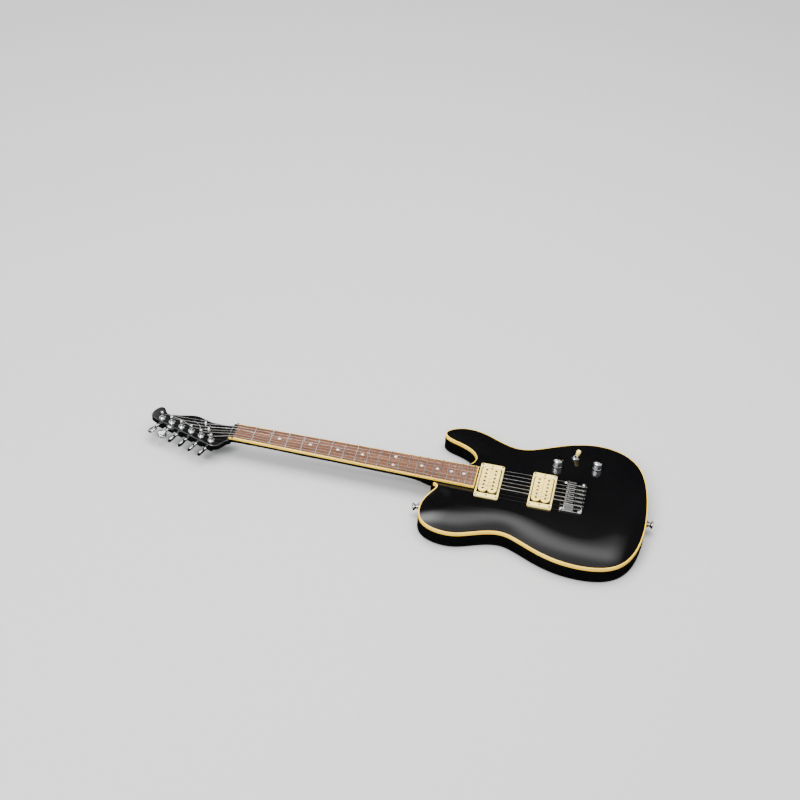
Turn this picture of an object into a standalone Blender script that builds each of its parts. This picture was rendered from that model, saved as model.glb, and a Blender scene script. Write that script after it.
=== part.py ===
"""Electric guitar, modelled as an assembly of separate parts.

A single-cutaway solid body with a carved top and a bound edge, a bolt-on neck with six
tuners in line, two open humbucking pickups and a fixed bridge with six saddles.

Frame: metres, +Z up. The guitar lies on its back. +X runs from the headstock to the end
of the body, +Y to the treble side and its cutaway, and +Z out of the top. The origin is
on the back face, on the centreline, at the middle of the body's length.

The lengths below are in millimetres, with X measured from the nut as a guitar maker
gives it. make_object() moves them to the origin and turns them into metres.
"""
import math

import bmesh
import bpy
from mathutils import Matrix, Vector, geometry

MM = 0.001
GAP = 0.3                    # clearance left between touching parts
BODY_MIDDLE = 591.5          # nut to the middle of the body

SCALE_LENGTH = 648.0         # nut to the saddles
FRETS = 22
NUT_WIDTH = 42.0
LAST_FRET_WIDTH = 56.0
BOARD_START = -8.5           # the board runs on a little past the nut
BOARD_END = 474.0
BOARD_TOP = 52.5             # height of the board's crown above the back
BOARD_BOTTOM = 46.8
BOARD_RADIUS = 350.0
BOARD_BINDING = 1.5
FRET_HEIGHT = 1.0
FRET_WIDTH = 2.2
NUT_LENGTH = 3.3
NUT_TOP = 53.4

NECK_TOP = BOARD_BOTTOM - GAP
HEEL_BOTTOM = 27.4
HEEL_END = 470.0
HEAD_FACE = 43.5
HEAD_BACK = 31.3

POCKET_FLOOR = HEEL_BOTTOM - GAP
PLATEAU = 44.5               # flat middle of the carved top
RIM = 37.5                   # top edge of the body away from the neck
CARVE_WIDTH = 60.0
BINDING_HEIGHT = 7.0
BINDING_THICKNESS = 2.3
BACK_ROUND = 3.5

SADDLE_TOP = 56.5
SADDLE_PITCH = 10.5
NUT_PITCH = 7.0
STRING_RADII = (0.13, 0.17, 0.22, 0.33, 0.46, 0.58)
STRING_HOLE = (656.0, 2.2)   # distance from the nut and radius

POST_FIRST = Vector((-151.2, 6.0))
POST_STEP = Vector((22.0, -7.2))
TUNER_TURN = math.radians(-21.0)     # the tuners stand square to the headstock's edge
WORM_OFFSET = -6.6                   # the worm's axis, beside the post
WORM_HEIGHT = HEAD_BACK - 5.3
BUTTON_ANGLES = (-30.0, 20.0, -62.0, -68.0, -56.0, -64.0)
HOUSING_DEPTH = 10.3                 # below the back of the headstock
BUSH_RADIUS = 4.6
BUSH_TOP = 46.2
WASHER_RADIUS = 6.6

PICKUPS = {"neck": (499.3, 47.5, 50.5), "bridge": (600.8, 49.0, 52.0)}
KNOBS = {"volume": (618.7, 79.0), "tone": (694.2, 92.5)}
SWITCH = Vector((650.0, 110.0, 41.0))
SWITCH_LEAN = 12.0
NECK_PLATE_CENTRE = (430.0, 0.0)
NECK_PLATE_SIZE = (64.0, 51.0)
NECK_PLATE_THICKNESS = 2.0
NECK_SCREW_OFFSET = (25.4, 19.0)
SCREW_HOLE = 2.6             # radius in the body and the neck
CAVITY_TOP = 38.0
COVER_THICKNESS = 2.5
COVER_LIP = 6.0              # how far the cover's seat reaches past the cavity
CLEAR_BELOW = -2.0           # where cuts start below the back
CLEAR_ABOVE = 60.0           # and where they end above the top
PICKUP_ROUT = (40.0, 84.0)
PICKUP_ROUT_FLOOR = 23.0
WIRE_HOLE = 4.5              # radius of the channels between routs
POT_HOLE = 4.5
SWITCH_HOLE = 6.2
JACK_POCKET = 12.4
JACK_BARREL = 9.8
JACK = (693.0, 162.0, 16.0)
STRAP_HEIGHT = 20.0

# Control points of the body's outline, anticlockwise from the heel under the neck.
BODY_OUTLINE = [
    (391.0, 12.0), (391.0, -12.0), (391.2, -24.0), (393.0, -31.0), (400.5, -31.6),
    (405.8, -36.5), (401.0, -46.0), (392.0, -57.5), (385.0, -72.0), (382.0, -89.0),
    (382.8, -108.0), (391.0, -127.5), (409.0, -140.5), (436.5, -147.0), (464.3, -144.5),
    (490.3, -133.6), (516.4, -123.0), (540.7, -118.2), (562.0, -124.0), (590.6, -138.7),
    (620.0, -153.0), (655.0, -163.8), (692.0, -167.6), (727.0, -164.6), (753.0, -155.6),
    (773.5, -139.5), (788.5, -114.5), (797.5, -84.0), (802.5, -48.0), (803.4, -12.0),
    (801.0, 31.6), (793.5, 79.0), (784.5, 106.5), (770.0, 132.0), (745.5, 152.3),
    (712.0, 163.4), (673.9, 163.5), (633.0, 151.3), (596.0, 133.0), (566.0, 117.6),
    (540.0, 111.4), (512.0, 118.6), (483.8, 132.4), (460.0, 141.8), (438.5, 144.6),
    (420.0, 142.5), (405.5, 136.5), (394.0, 128.0), (390.5, 119.0), (395.0, 110.5),
    (407.0, 102.8), (427.4, 96.6), (446.5, 87.6), (458.8, 76.5), (464.5, 62.0),
    (461.5, 46.5), (453.0, 35.5), (441.0, 30.2), (425.0, 28.0), (405.0, 27.4),
    (393.0, 26.0),
]
BINDING_FIRST = 2            # the binding starts after this control span
BINDING_LAST = 55            # and ends before this one

# Control points of the headstock's outline, from the nut round by the tuners' side.
HEAD_OUTLINE = [
    (-4.0, -21.0), (-12.0, -21.5), (-18.0, -31.0), (-24.5, -41.2), (-34.0, -44.9),
    (-46.0, -42.8), (-78.0, -31.0), (-112.0, -18.6), (-147.0, -6.0), (-166.5, 1.2),
    (-174.0, 6.4), (-175.8, 14.5), (-173.8, 24.0), (-169.0, 32.6), (-161.5, 38.3),
    (-154.3, 35.6), (-149.0, 24.8), (-144.0, 19.5), (-134.0, 20.5), (-120.0, 22.5),
    (-104.0, 27.8), (-86.5, 31.3), (-70.0, 25.0), (-58.0, 20.0), (-40.0, 19.0),
    (-20.0, 20.0), (-4.0, 21.0),
]

# Control points of the cavity in the back that holds the pots, the switch and the jack.
CAVITY_OUTLINE = [
    (600.0, 61.0), (640.0, 59.0), (690.0, 61.0), (722.0, 69.0), (730.0, 95.0),
    (724.0, 121.0), (700.0, 135.0), (668.0, 133.0), (638.0, 127.0), (610.0, 113.0),
    (597.0, 92.0),
]


# ---------------------------------------------------------------- solids

def clear_scene():
    for thing in list(bpy.data.objects):
        bpy.data.objects.remove(thing, do_unlink=True)


def material(name, colour, roughness, metallic=0.0):
    made = bpy.data.materials.new(name)
    made.use_nodes = True
    shader = made.node_tree.nodes["Principled BSDF"]
    shader.inputs["Base Color"].default_value = (*colour, 1.0)
    shader.inputs["Roughness"].default_value = roughness
    shader.inputs["Metallic"].default_value = metallic
    return made


def as_mesh(bm, name="solid"):
    """Turn the faces outwards and return a mesh, still in millimetres."""
    bmesh.ops.recalc_face_normals(bm, faces=bm.faces)
    mesh = bpy.data.meshes.new(name)
    bm.to_mesh(mesh)
    bm.free()
    return mesh


def join_rings(bm, first, second):
    for index in range(len(first)):
        after = (index + 1) % len(first)
        bm.faces.new((first[index], first[after], second[after], second[index]))


def loft(rings):
    """Skin equal rings of points and close both ends."""
    bm = bmesh.new()
    loops = [[bm.verts.new(point) for point in ring] for ring in rings]
    for first, second in zip(loops, loops[1:]):
        join_rings(bm, first, second)
    bm.faces.new(loops[0])
    bm.faces.new(loops[-1])
    return as_mesh(bm)


def prism(outline, bottom, top):
    return loft([[(x, y, z) for x, y in outline] for z in (bottom, top)])


def box(low, high):
    corners = [(low[0], low[1]), (high[0], low[1]), (high[0], high[1]), (low[0], high[1])]
    return prism(corners, low[2], high[2])


def circle(centre, radius, sides):
    turns = [2 * math.pi * index / sides for index in range(sides)]
    return [(centre[0] + radius * math.cos(a), centre[1] + radius * math.sin(a)) for a in turns]


def turned(profile, sides, foot=(0, 0, 0), towards=(0, 0, 1)):
    """Turn a profile of (radius, height), from one pole to the other, about an axis."""
    bm = bmesh.new()
    start = bm.verts.new((0, 0, profile[0][1]))
    end = bm.verts.new((0, 0, profile[-1][1]))
    rings = [
        [bm.verts.new((x, y, height)) for x, y in circle((0, 0), radius, sides)]
        for radius, height in profile[1:-1]
    ]
    for index in range(sides):
        after = (index + 1) % sides
        bm.faces.new((start, rings[0][index], rings[0][after]))
        bm.faces.new((end, rings[-1][after], rings[-1][index]))
    for first, second in zip(rings, rings[1:]):
        join_rings(bm, first, second)
    turn = Vector((0, 0, 1)).rotation_difference(Vector(towards)).to_matrix().to_4x4()
    bm.transform(Matrix.Translation(foot) @ turn)
    return as_mesh(bm)


def rod(radius, start, end, sides=12):
    """A plain round rod between two points."""
    along = Vector(end) - Vector(start)
    return turned([(0, 0), (radius, 0), (radius, along.length), (0, along.length)],
                  sides, start, along)


def ring_round(outer, inner, bottom, top, sides, foot, towards):
    """A flat washer about an axis."""
    plate = turned([(0, bottom), (outer, bottom), (outer, top), (0, top)], sides, foot, towards)
    hole = turned([(0, bottom - 1), (inner, bottom - 1), (inner, top + 1), (0, top + 1)],
                  sides, foot, towards)
    return combine(plate, cuts=[hole])


def sweep(points, radius, sides=6):
    """A round wire through points, mitred at each bend."""
    points = [Vector(point) for point in points]
    rings = []
    up = Vector((0, 1, 0))
    for index, point in enumerate(points):
        before = points[max(index - 1, 0)]
        after = points[min(index + 1, len(points) - 1)]
        arriving = (point - before).normalized() if index else (after - point).normalized()
        leaving = (after - point).normalized() if after != point else arriving
        along = (arriving + leaving).normalized()
        across = up.cross(along).normalized()
        rings.append([
            point + radius * (math.cos(turn) * across + math.sin(turn) * along.cross(across))
            for turn in (2 * math.pi * side / sides for side in range(sides))
        ])
    return loft(rings)


def combine(base, joins=(), cuts=()):
    """Unite and cut solids exactly, and return the result as one mesh."""
    scratch = []
    target = bpy.data.objects.new("target", base)
    bpy.context.collection.objects.link(target)
    scratch.append(target)
    for operation, tools in (("UNION", joins), ("DIFFERENCE", cuts)):
        for tool_mesh in tools:
            tool = bpy.data.objects.new("tool", tool_mesh)
            bpy.context.collection.objects.link(tool)
            scratch.append(tool)
            step = target.modifiers.new("step", "BOOLEAN")
            step.operation = operation
            step.solver = "EXACT"
            step.object = tool
    evaluated = target.evaluated_get(bpy.context.evaluated_depsgraph_get())
    result = bpy.data.meshes.new_from_object(evaluated)
    for thing in scratch:
        bpy.data.objects.remove(thing, do_unlink=True)
    return result


def closed_curve(controls, per_span):
    """Points on the closed cubic B-spline of a control polygon."""
    points = []
    count = len(controls)
    for index in range(count):
        group = [controls[(index + offset) % count] for offset in range(4)]
        for step in range(per_span):
            t = step / per_span
            weights = ((1 - t) ** 3 / 6, (3 * t ** 3 - 6 * t ** 2 + 4) / 6,
                       (-3 * t ** 3 + 3 * t ** 2 + 3 * t + 1) / 6, t ** 3 / 6)
            points.append(tuple(
                sum(weight * point[axis] for weight, point in zip(weights, group))
                for axis in (0, 1)))
    return points


def inset(controls, distance):
    """Move an anticlockwise polygon's corners inwards by a distance from both edges."""
    moved = []
    for index, corner in enumerate(controls):
        here = Vector(corner)
        arriving = (here - Vector(controls[index - 1])).normalized()
        leaving = (Vector(controls[(index + 1) % len(controls)]) - here).normalized()
        inward = (arriving + leaving).normalized().orthogonal()
        stretch = max(inward.dot(arriving.orthogonal()), 0.5)
        moved.append(tuple(here + inward * distance / stretch))
    return moved


def rounded_rectangle(centre, size, radius, steps=3):
    points = []
    for quarter in range(4):
        sign_x = 1 if quarter in (0, 3) else -1
        sign_y = 1 if quarter in (0, 1) else -1
        corner_x = centre[0] + sign_x * (size[0] / 2 - radius)
        corner_y = centre[1] + sign_y * (size[1] / 2 - radius)
        for step in range(steps + 1):
            turn = math.pi / 2 * (quarter + step / steps)
            points.append((corner_x + radius * math.cos(turn), corner_y + radius * math.sin(turn)))
    return points


def make_object(name, mesh, finish, pivot=(BODY_MIDDLE, 0, 0), place=None, turn=0.0):
    """Make the named object in metres, with its origin on its pivot."""
    scaled = mesh.copy()
    scaled.name = name
    offset = Vector((0, 0, 0)) if place else Vector(pivot)
    for vertex in scaled.vertices:
        vertex.co = (vertex.co - offset) * MM
    scaled.materials.clear()
    scaled.materials.append(finish)
    scaled.shade_smooth()
    scaled.set_sharp_from_angle(angle=math.radians(35))
    made = bpy.data.objects.new(name, scaled)
    made.location = (Vector(place or pivot) - Vector((BODY_MIDDLE, 0, 0))) * MM
    made.rotation_euler = (0, 0, turn)
    bpy.context.collection.objects.link(made)
    return made


# ---------------------------------------------------------------- shapes shared by parts

def half_width(x):
    """Half the width of the fingerboard with its binding."""
    last_fret = SCALE_LENGTH * (1 - 2 ** (-FRETS / 12))
    return (NUT_WIDTH + (LAST_FRET_WIDTH - NUT_WIDTH) * x / last_fret) / 2


def fret_place(number):
    return SCALE_LENGTH * (1 - 2 ** (-number / 12))


def board_crown(y):
    return BOARD_TOP - y * y / (2 * BOARD_RADIUS)


def fade(value, start, end):
    """1 before start, 0 after end, and smooth between."""
    t = min(max((value - start) / (end - start), 0.0), 1.0)
    return 1 - t * t * (3 - 2 * t)


def outside_box(x, y, low_x, high_x, half_y):
    return math.hypot(max(low_x - x, 0.0, x - high_x), max(abs(y) - half_y, 0.0))


def edge_distance(x, y, outline):
    """Smooth distance to the outline: exact beside a straight edge, rounded elsewhere."""
    total = 0.0
    for (x0, y0), (x1, y1) in zip(outline, outline[1:] + outline[:1]):
        length = math.hypot(x1 - x0, y1 - y0)
        ux, uy = (x1 - x0) / length, (y1 - y0) / length
        start = (x0 - x) * ux + (y0 - y) * uy
        off = max(abs((x0 - x) * uy - (y0 - y) * ux), 0.01)
        for t, sign in ((start + length, 1), (start, -1)):
            total += sign * (t / (2 * off ** 2 * (off ** 2 + t ** 2))
                             + math.atan(t / off) / (2 * off ** 3))
    return (math.pi / 2 / max(total, 1e-12)) ** (1 / 3)


def lift(x, y):
    """How far the carve is held up to the flat level, beside the neck and the pickups."""
    beside_neck = fade(outside_box(x, y, 391, 470, 30), 4, 48)
    beside_pickups = fade(outside_box(x, y, 476, 685, 47), 0, 26)
    return beside_neck, beside_pickups


def rim_height(x, y):
    return RIM + (PLATEAU - RIM) * lift(x, y)[0]


def top_height(x, y, outline):
    beside_neck, beside_pickups = lift(x, y)
    fallen = max(1 - edge_distance(x, y, outline) / CARVE_WIDTH, 0.0) ** 2
    return PLATEAU - (PLATEAU - RIM) * fallen * (1 - beside_neck) * (1 - beside_pickups)


def saddle_y(number):
    """String 1 is the treble one, at +Y."""
    return (3.5 - number) * SADDLE_PITCH


def nut_y(number):
    return (3.5 - number) * NUT_PITCH


def post_centre(number):
    return POST_FIRST + (number - 1) * POST_STEP


# ---------------------------------------------------------------- body

def carved_blank():
    """The body's blank: a rounded back edge, a ledge for the binding and a carved top."""
    spans = 2
    full = closed_curve(BODY_OUTLINE, spans)
    ledge = closed_curve(inset(BODY_OUTLINE, BINDING_THICKNESS + GAP), spans)
    under = closed_curve(inset(BODY_OUTLINE, BACK_ROUND), spans)
    middle = closed_curve(inset(BODY_OUTLINE, BACK_ROUND * 0.3), spans)
    rims = [rim_height(x, y) for x, y in full]
    foot = [rim - BINDING_HEIGHT - GAP for rim in rims]
    bm = bmesh.new()
    rings = [
        [bm.verts.new((x, y, 0)) for x, y in under],
        [bm.verts.new((x, y, BACK_ROUND * 0.3)) for x, y in middle],
        [bm.verts.new((x, y, BACK_ROUND)) for x, y in full],
        [bm.verts.new((x, y, z)) for (x, y), z in zip(full, foot)],
        [bm.verts.new((x, y, z)) for (x, y), z in zip(ledge, foot)],
        [bm.verts.new((x, y, z)) for (x, y), z in zip(ledge, rims)],
    ]
    for first, second in zip(rings, rings[1:]):
        join_rings(bm, first, second)
    bm.faces.new(rings[0])
    spacing = 14.0
    inner = []
    for row in range(28):
        for column in range(32):
            x = 384 + (column + 0.5 * (row % 2)) * spacing
            y = -165 + row * spacing * math.sqrt(3) / 2
            nearest = min(math.hypot(x - px, y - py) for px, py in ledge)
            if nearest < 7.5 or nearest > CARVE_WIDTH + 6 or not is_inside(x, y, ledge):
                continue
            inner.append((x, y))
    flat = [Vector(point) for point in ledge + inner]
    ring_faces = [list(range(len(ledge)))]
    found = geometry.delaunay_2d_cdt(flat, [], ring_faces, 1, 1e-4)
    corners = []
    for point, sources in zip(found[0], found[3]):
        source = sources[0]
        if source < len(ledge):
            corners.append(rings[-1][source])
        else:
            corners.append(bm.verts.new((point.x, point.y, top_height(point.x, point.y, full))))
    for triangle in found[2]:
        bm.faces.new([corners[index] for index in triangle])
    return as_mesh(bm)


def is_inside(x, y, outline):
    inside = False
    for (x0, y0), (x1, y1) in zip(outline, outline[1:] + outline[:1]):
        if (y0 > y) != (y1 > y) and x < (x1 - x0) * (y - y0) / (y1 - y0) + x0:
            inside = not inside
    return inside


def neck_screw_places():
    return [(NECK_PLATE_CENTRE[0] + sx * NECK_SCREW_OFFSET[0],
             NECK_PLATE_CENTRE[1] + sy * NECK_SCREW_OFFSET[1])
            for sx in (-1, 1) for sy in (-1, 1)]


def upright(x, y, radius, low=CLEAR_BELOW, high=CLEAR_ABOVE, sides=12):
    """A round cutter that stands on the back."""
    return rod(radius, (x, y, low), (x, y, high), sides)


def body_cuts():
    play = 0.5
    start, end = 360, HEEL_END + GAP
    pocket = [(start, -half_width(start) - play), (end, -half_width(HEEL_END) - play),
              (end, half_width(HEEL_END) + play), (start, half_width(start) + play)]
    cuts = [prism(pocket, POCKET_FLOOR, CLEAR_ABOVE)]
    for centre, _, _ in PICKUPS.values():
        rout = rounded_rectangle((centre, 0), PICKUP_ROUT, 5)
        cuts.append(prism(rout, PICKUP_ROUT_FLOOR, CLEAR_ABOVE))
    cuts.append(rod(WIRE_HOLE, (505, 20, 30), (596, 20, 30), 8))
    cuts.append(rod(WIRE_HOLE, (600, 30, 31), (640, 75, 31), 8))
    cuts.append(prism(closed_curve(CAVITY_OUTLINE, 2), CLEAR_BELOW, CAVITY_TOP))
    seat = closed_curve(inset(CAVITY_OUTLINE, -COVER_LIP), 2)
    cuts.append(prism(seat, CLEAR_BELOW, COVER_THICKNESS + GAP))
    for x, y in KNOBS.values():
        cuts.append(upright(x, y, POT_HOLE, low=30))
    cuts.append(upright(SWITCH.x, SWITCH.y, SWITCH_HOLE, low=30))
    for number in range(1, 7):
        cuts.append(upright(STRING_HOLE[0], saddle_y(number), STRING_HOLE[1], sides=8))
    wide, high = (size + 2 * GAP for size in NECK_PLATE_SIZE)
    cuts.append(prism(rounded_rectangle(NECK_PLATE_CENTRE, (wide, high), 4), CLEAR_BELOW,
                      NECK_PLATE_THICKNESS + GAP))
    for x, y in neck_screw_places():
        cuts.append(upright(x, y, SCREW_HOLE, high=35, sides=8))
    x, y, z = JACK
    cuts.append(rod(JACK_POCKET, (x, y, z), (x, y + 8, z), 20))
    cuts.append(rod(JACK_BARREL, (x, y - 40, z), (x, y + 4, z), 16))
    return cuts


def make_body(finishes):
    make_object("body", combine(carved_blank(), cuts=body_cuts()), finishes["black_gloss"])


def make_body_binding(finishes):
    """A strip let into the body's top edge, from one side of the neck to the other."""
    spans = 2
    outer = closed_curve(BODY_OUTLINE, spans)
    inner = closed_curve(inset(BODY_OUTLINE, BINDING_THICKNESS), spans)
    first = BINDING_FIRST * spans + 1
    last = BINDING_LAST * spans - 1
    rings = []
    for index in range(first, last + 1):
        (ox, oy), (ix, iy) = outer[index], inner[index]
        top = rim_height(ox, oy)
        bottom = top - BINDING_HEIGHT
        rings.append([(ox, oy, bottom), (ox, oy, top), (ix, iy, top), (ix, iy, bottom)])
    make_object("body_binding", loft(rings), finishes["cream_binding"])


def make_control_cover(finishes):
    outline = closed_curve(inset(CAVITY_OUTLINE, 0.4 - COVER_LIP), 2)
    cover = prism(outline, 0, COVER_THICKNESS)
    make_object("control_cover", cover, finishes["black_plastic"])


def make_neck_plate(finishes):
    plate = prism(rounded_rectangle(NECK_PLATE_CENTRE, NECK_PLATE_SIZE, 4), 0, NECK_PLATE_THICKNESS)
    holes = [rod(4.8, (x, y, -1), (x, y, 3), 10) for x, y in neck_screw_places()]
    make_object("neck_plate", combine(plate, cuts=holes), finishes["chrome"])
    profile = [(0, 0.2), (3.2, 0.2), (4.4, 0.8), (4.4, 1.4), (2.2, 2.2), (2.2, 38.0), (0, 41.0)]
    for index, (x, y) in enumerate(neck_screw_places(), 1):
        screw = turned(profile, 8, (x, y, 0))
        make_object(f"neck_screw_{index}", screw, finishes["steel"])


def make_strap_buttons(finishes):
    profile = [(0, 0), (6.2, 0), (6.2, 1.4), (4.2, 4.0), (4.2, 7.5), (7.4, 10.2),
               (7.4, 12.0), (6.0, 13.0), (0, 13.0)]
    edge = [Vector(point) for point in closed_curve(BODY_OUTLINE, 8)]
    for name, near, towards in (
            ("strap_button_shoulder", Vector((384.2, -74.5)), Vector((-0.955, -0.297))),
            ("strap_button_end", Vector((803.0, -8.0)), Vector((1.0, 0.0)))):
        reach = max((point - near).dot(towards) for point in edge
                    if abs((point - near).dot(towards.orthogonal())) < 9
                    and (point - near).length < 20)
        foot = near + towards * (reach + GAP)
        button = turned(profile, 14, (*foot, STRAP_HEIGHT), (*towards, 0))
        make_object(name, button, finishes["chrome"])


# ---------------------------------------------------------------- neck

def neck_ring(x, wide, top, bottom, squareness):
    """A section of the neck: flat on top and a rounded or squared back below."""
    steps = 12
    points = []
    for step in range(steps + 1):
        turn = math.pi * step / steps
        across = math.copysign(abs(math.cos(turn)) ** (2 / squareness), math.cos(turn))
        down = math.sin(turn) ** (2 / squareness) if 0 < step < steps else 0.0
        points.append((x, -wide * across, top - (top - bottom) * down))
    return points


def make_neck(finishes):
    sections = [
        (-22, 20.0, 42.5, 31.7, 3.0), (-13, 20.5, 43.4, 31.0, 2.8), (-9.5, 20.8, 45.6, 30.7, 2.6),
        (-8.5, half_width(-8.5), NECK_TOP, 30.6, 2.5), (0, half_width(0), NECK_TOP, 30.7, 2.3),
        (12, half_width(12), NECK_TOP, 31.2, 2.2), (36, half_width(36), NECK_TOP, 31.4, 2.15),
        (180, half_width(180), NECK_TOP, 30.4, 2.15), (324, half_width(324), NECK_TOP, 29.4, 2.2),
        (352, half_width(352), NECK_TOP, 29.0, 2.4), (370, half_width(370), NECK_TOP, 28.2, 3.2),
        (382, half_width(382), NECK_TOP, HEEL_BOTTOM, 6.0),
        (390, half_width(390), NECK_TOP, HEEL_BOTTOM, 12.0),
        (HEEL_END, half_width(HEEL_END), NECK_TOP, HEEL_BOTTOM, 14.0),
    ]
    shaft = loft([neck_ring(*section) for section in sections])
    head = prism(closed_curve(HEAD_OUTLINE, 2), HEAD_BACK, HEAD_FACE)
    cuts = [box((6, -3.1, 37.0), (462, 3.1, 60))]
    for number in range(1, 7):
        x, y = post_centre(number)
        cuts.append(upright(x, y, BUSH_RADIUS + GAP))
    for x, y in neck_screw_places():
        cuts.append(upright(x, y, SCREW_HOLE, high=42.5, sides=8))
    make_object("neck", combine(shaft, joins=[head], cuts=cuts), finishes["black_gloss"])
    truss = box((8, -2.7, 37.4), (458, 2.7, 45.9))
    make_object("truss_rod", truss, finishes["steel"])


def board_ring(x, rise=0.0, top=BOARD_TOP):
    wide = half_width(x) - BOARD_BINDING - GAP
    across = [wide, wide / 2, 0, -wide / 2, -wide]
    upper = [(x, y, min(board_crown(y) + rise, top + rise)) for y in across]
    return [(x, -wide, BOARD_BOTTOM), (x, wide, BOARD_BOTTOM)] + upper


def make_fingerboard(finishes):
    """The board with its frets standing on it, and a seat for the nut."""
    seat = 49.0
    rings = [board_ring(BOARD_START, top=51.0), board_ring(-NUT_LENGTH - GAP - 0.1, top=51.0),
             board_ring(-NUT_LENGTH - GAP, top=seat), board_ring(0, top=seat),
             board_ring(0.1)]
    for number in range(1, FRETS + 1):
        x = fret_place(number)
        for offset, rise in ((-1, 0), (-0.6, FRET_HEIGHT), (0.6, FRET_HEIGHT), (1, 0)):
            rings.append(board_ring(x + offset * FRET_WIDTH / 2, rise))
    rings.append(board_ring(BOARD_END - BOARD_BINDING - GAP))
    make_object("fingerboard", loft(rings), finishes["rosewood"])
    edge = 51.6
    outer = [(BOARD_START, -half_width(BOARD_START)), (BOARD_END, -half_width(BOARD_END)),
             (BOARD_END, half_width(BOARD_END)), (BOARD_START, half_width(BOARD_START))]
    end = BOARD_END - BOARD_BINDING
    inner = [(-30, BOARD_BINDING - half_width(-30)), (end, BOARD_BINDING - half_width(end)),
             (end, half_width(end) - BOARD_BINDING), (-30, half_width(-30) - BOARD_BINDING)]
    binding = combine(prism(outer, BOARD_BOTTOM, edge),
                      cuts=[prism(inner, 40, 60), box((-NUT_LENGTH - GAP, -40, seat), (0, 40, 60))])
    make_object("fingerboard_binding", binding, finishes["cream_binding"])
    nut = box((-NUT_LENGTH, -NUT_WIDTH / 2, seat + GAP), (-GAP, NUT_WIDTH / 2, NUT_TOP))
    make_object("nut", nut, finishes["black_plastic"])


# ---------------------------------------------------------------- tuners

def tuner_housing():
    """A cast gear housing under the headstock, with its bushing up through the wood."""
    top = HEAD_BACK - GAP
    wall = 1.0
    shell = box((-11, -7.5, HEAD_BACK - HOUSING_DEPTH), (6, 7.5, top))
    bush = rod(BUSH_RADIUS, (0, 0, top - wall), (0, 0, BUSH_TOP))
    washer = rod(WASHER_RADIUS, (0, 0, HEAD_FACE + GAP), (0, 0, BUSH_TOP))
    hollow = box((-11 + wall, -7.5 + wall, HEAD_BACK - HOUSING_DEPTH + wall),
                 (6 - wall, 7.5 - wall, top - wall))
    bore = rod(3.5, (0, 0, top - 4), (0, 0, BUSH_TOP + 4))
    shaft_hole = rod(2.1, (WORM_OFFSET, -11, WORM_HEIGHT), (WORM_OFFSET, -5, WORM_HEIGHT), 10)
    return combine(shell, joins=[bush, washer], cuts=[hollow, bore, shaft_hole])


def tuner_post():
    """The gear, the shaft and the string post."""
    foot, gear_low, gear_high = WORM_HEIGHT - 3.1, WORM_HEIGHT - 1.8, WORM_HEIGHT + 1.8
    profile = [(0, foot), (1.8, foot), (1.8, gear_low), (4.0, gear_low), (4.0, gear_high),
               (3.1, gear_high), (3.1, 48.5), (2.5, 50.0), (2.5, 54.0), (3.1, 56.0),
               (3.1, 59.0), (0, 59.5)]
    return turned(profile, 10)


def tuner_button():
    """The worm, its shaft and the button, along -Y of the tuner, about its own axis.

    Each section gives its place and its half width and half thickness.
    """
    sections = [(4.5, 2.2, 2.2), (-4.5, 2.2, 2.2), (-5.2, 1.7, 1.7), (-8.0, 1.7, 1.7),
                (-8.2, 3.2, 3.2), (-14.3, 3.0, 3.0), (-16.8, 5.0, 3.0), (-19.8, 8.4, 3.1),
                (-24.8, 9.6, 3.2), (-29.8, 8.2, 2.9), (-32.3, 4.5, 1.8)]
    rings = [[(wide * math.cos(a), y, thick * math.sin(a))
              for a in (2 * math.pi * side / 10 for side in range(10))]
             for y, wide, thick in sections]
    return loft(rings)


def make_tuners(finishes):
    housing, post, button = tuner_housing(), tuner_post(), tuner_button()
    side = Matrix.Rotation(TUNER_TURN, 3, "Z") @ Vector((WORM_OFFSET, 0, 0))
    for number in range(1, 7):
        x, y = post_centre(number)
        place = (x, y, 0)
        make_object(f"tuner_housing_{number}", housing, finishes["chrome"], place=place,
                    turn=TUNER_TURN)
        make_object(f"tuner_post_{number}", post, finishes["chrome"], place=place,
                    turn=TUNER_TURN)
        made = make_object(f"tuner_button_{number}", button, finishes["chrome"],
                           place=(x + side.x, y + side.y, WORM_HEIGHT), turn=TUNER_TURN)
        roll = Matrix.Rotation(math.radians(BUTTON_ANGLES[number - 1]), 4, "Y")
        made.matrix_world = made.matrix_basis @ roll


def make_string_trees(finishes):
    """Two T-shaped guides that hold pairs of strings down on the headstock."""
    for name, x, y in (("string_tree_treble", -63.5, 10.4), ("string_tree_middle", -52.8, -4.7)):
        foot, wing, under, top = HEAD_FACE + GAP, 6.0, 50.2, 51.6
        outline = [(-1.6, foot), (1.6, foot), (1.6, under), (wing, under - 0.8), (wing, top - 0.6),
                   (2.5, top), (-2.5, top), (-wing, top - 0.6), (-wing, under - 0.8),
                   (-1.6, under)]
        rings = [[(x + side * 2.2, y + across, z) for across, z in outline] for side in (-1, 1)]
        make_object(name, loft(rings), finishes["chrome"])


# ---------------------------------------------------------------- bridge and strings

def string_height(number, rest):
    return rest + GAP + STRING_RADII[number - 1]


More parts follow.
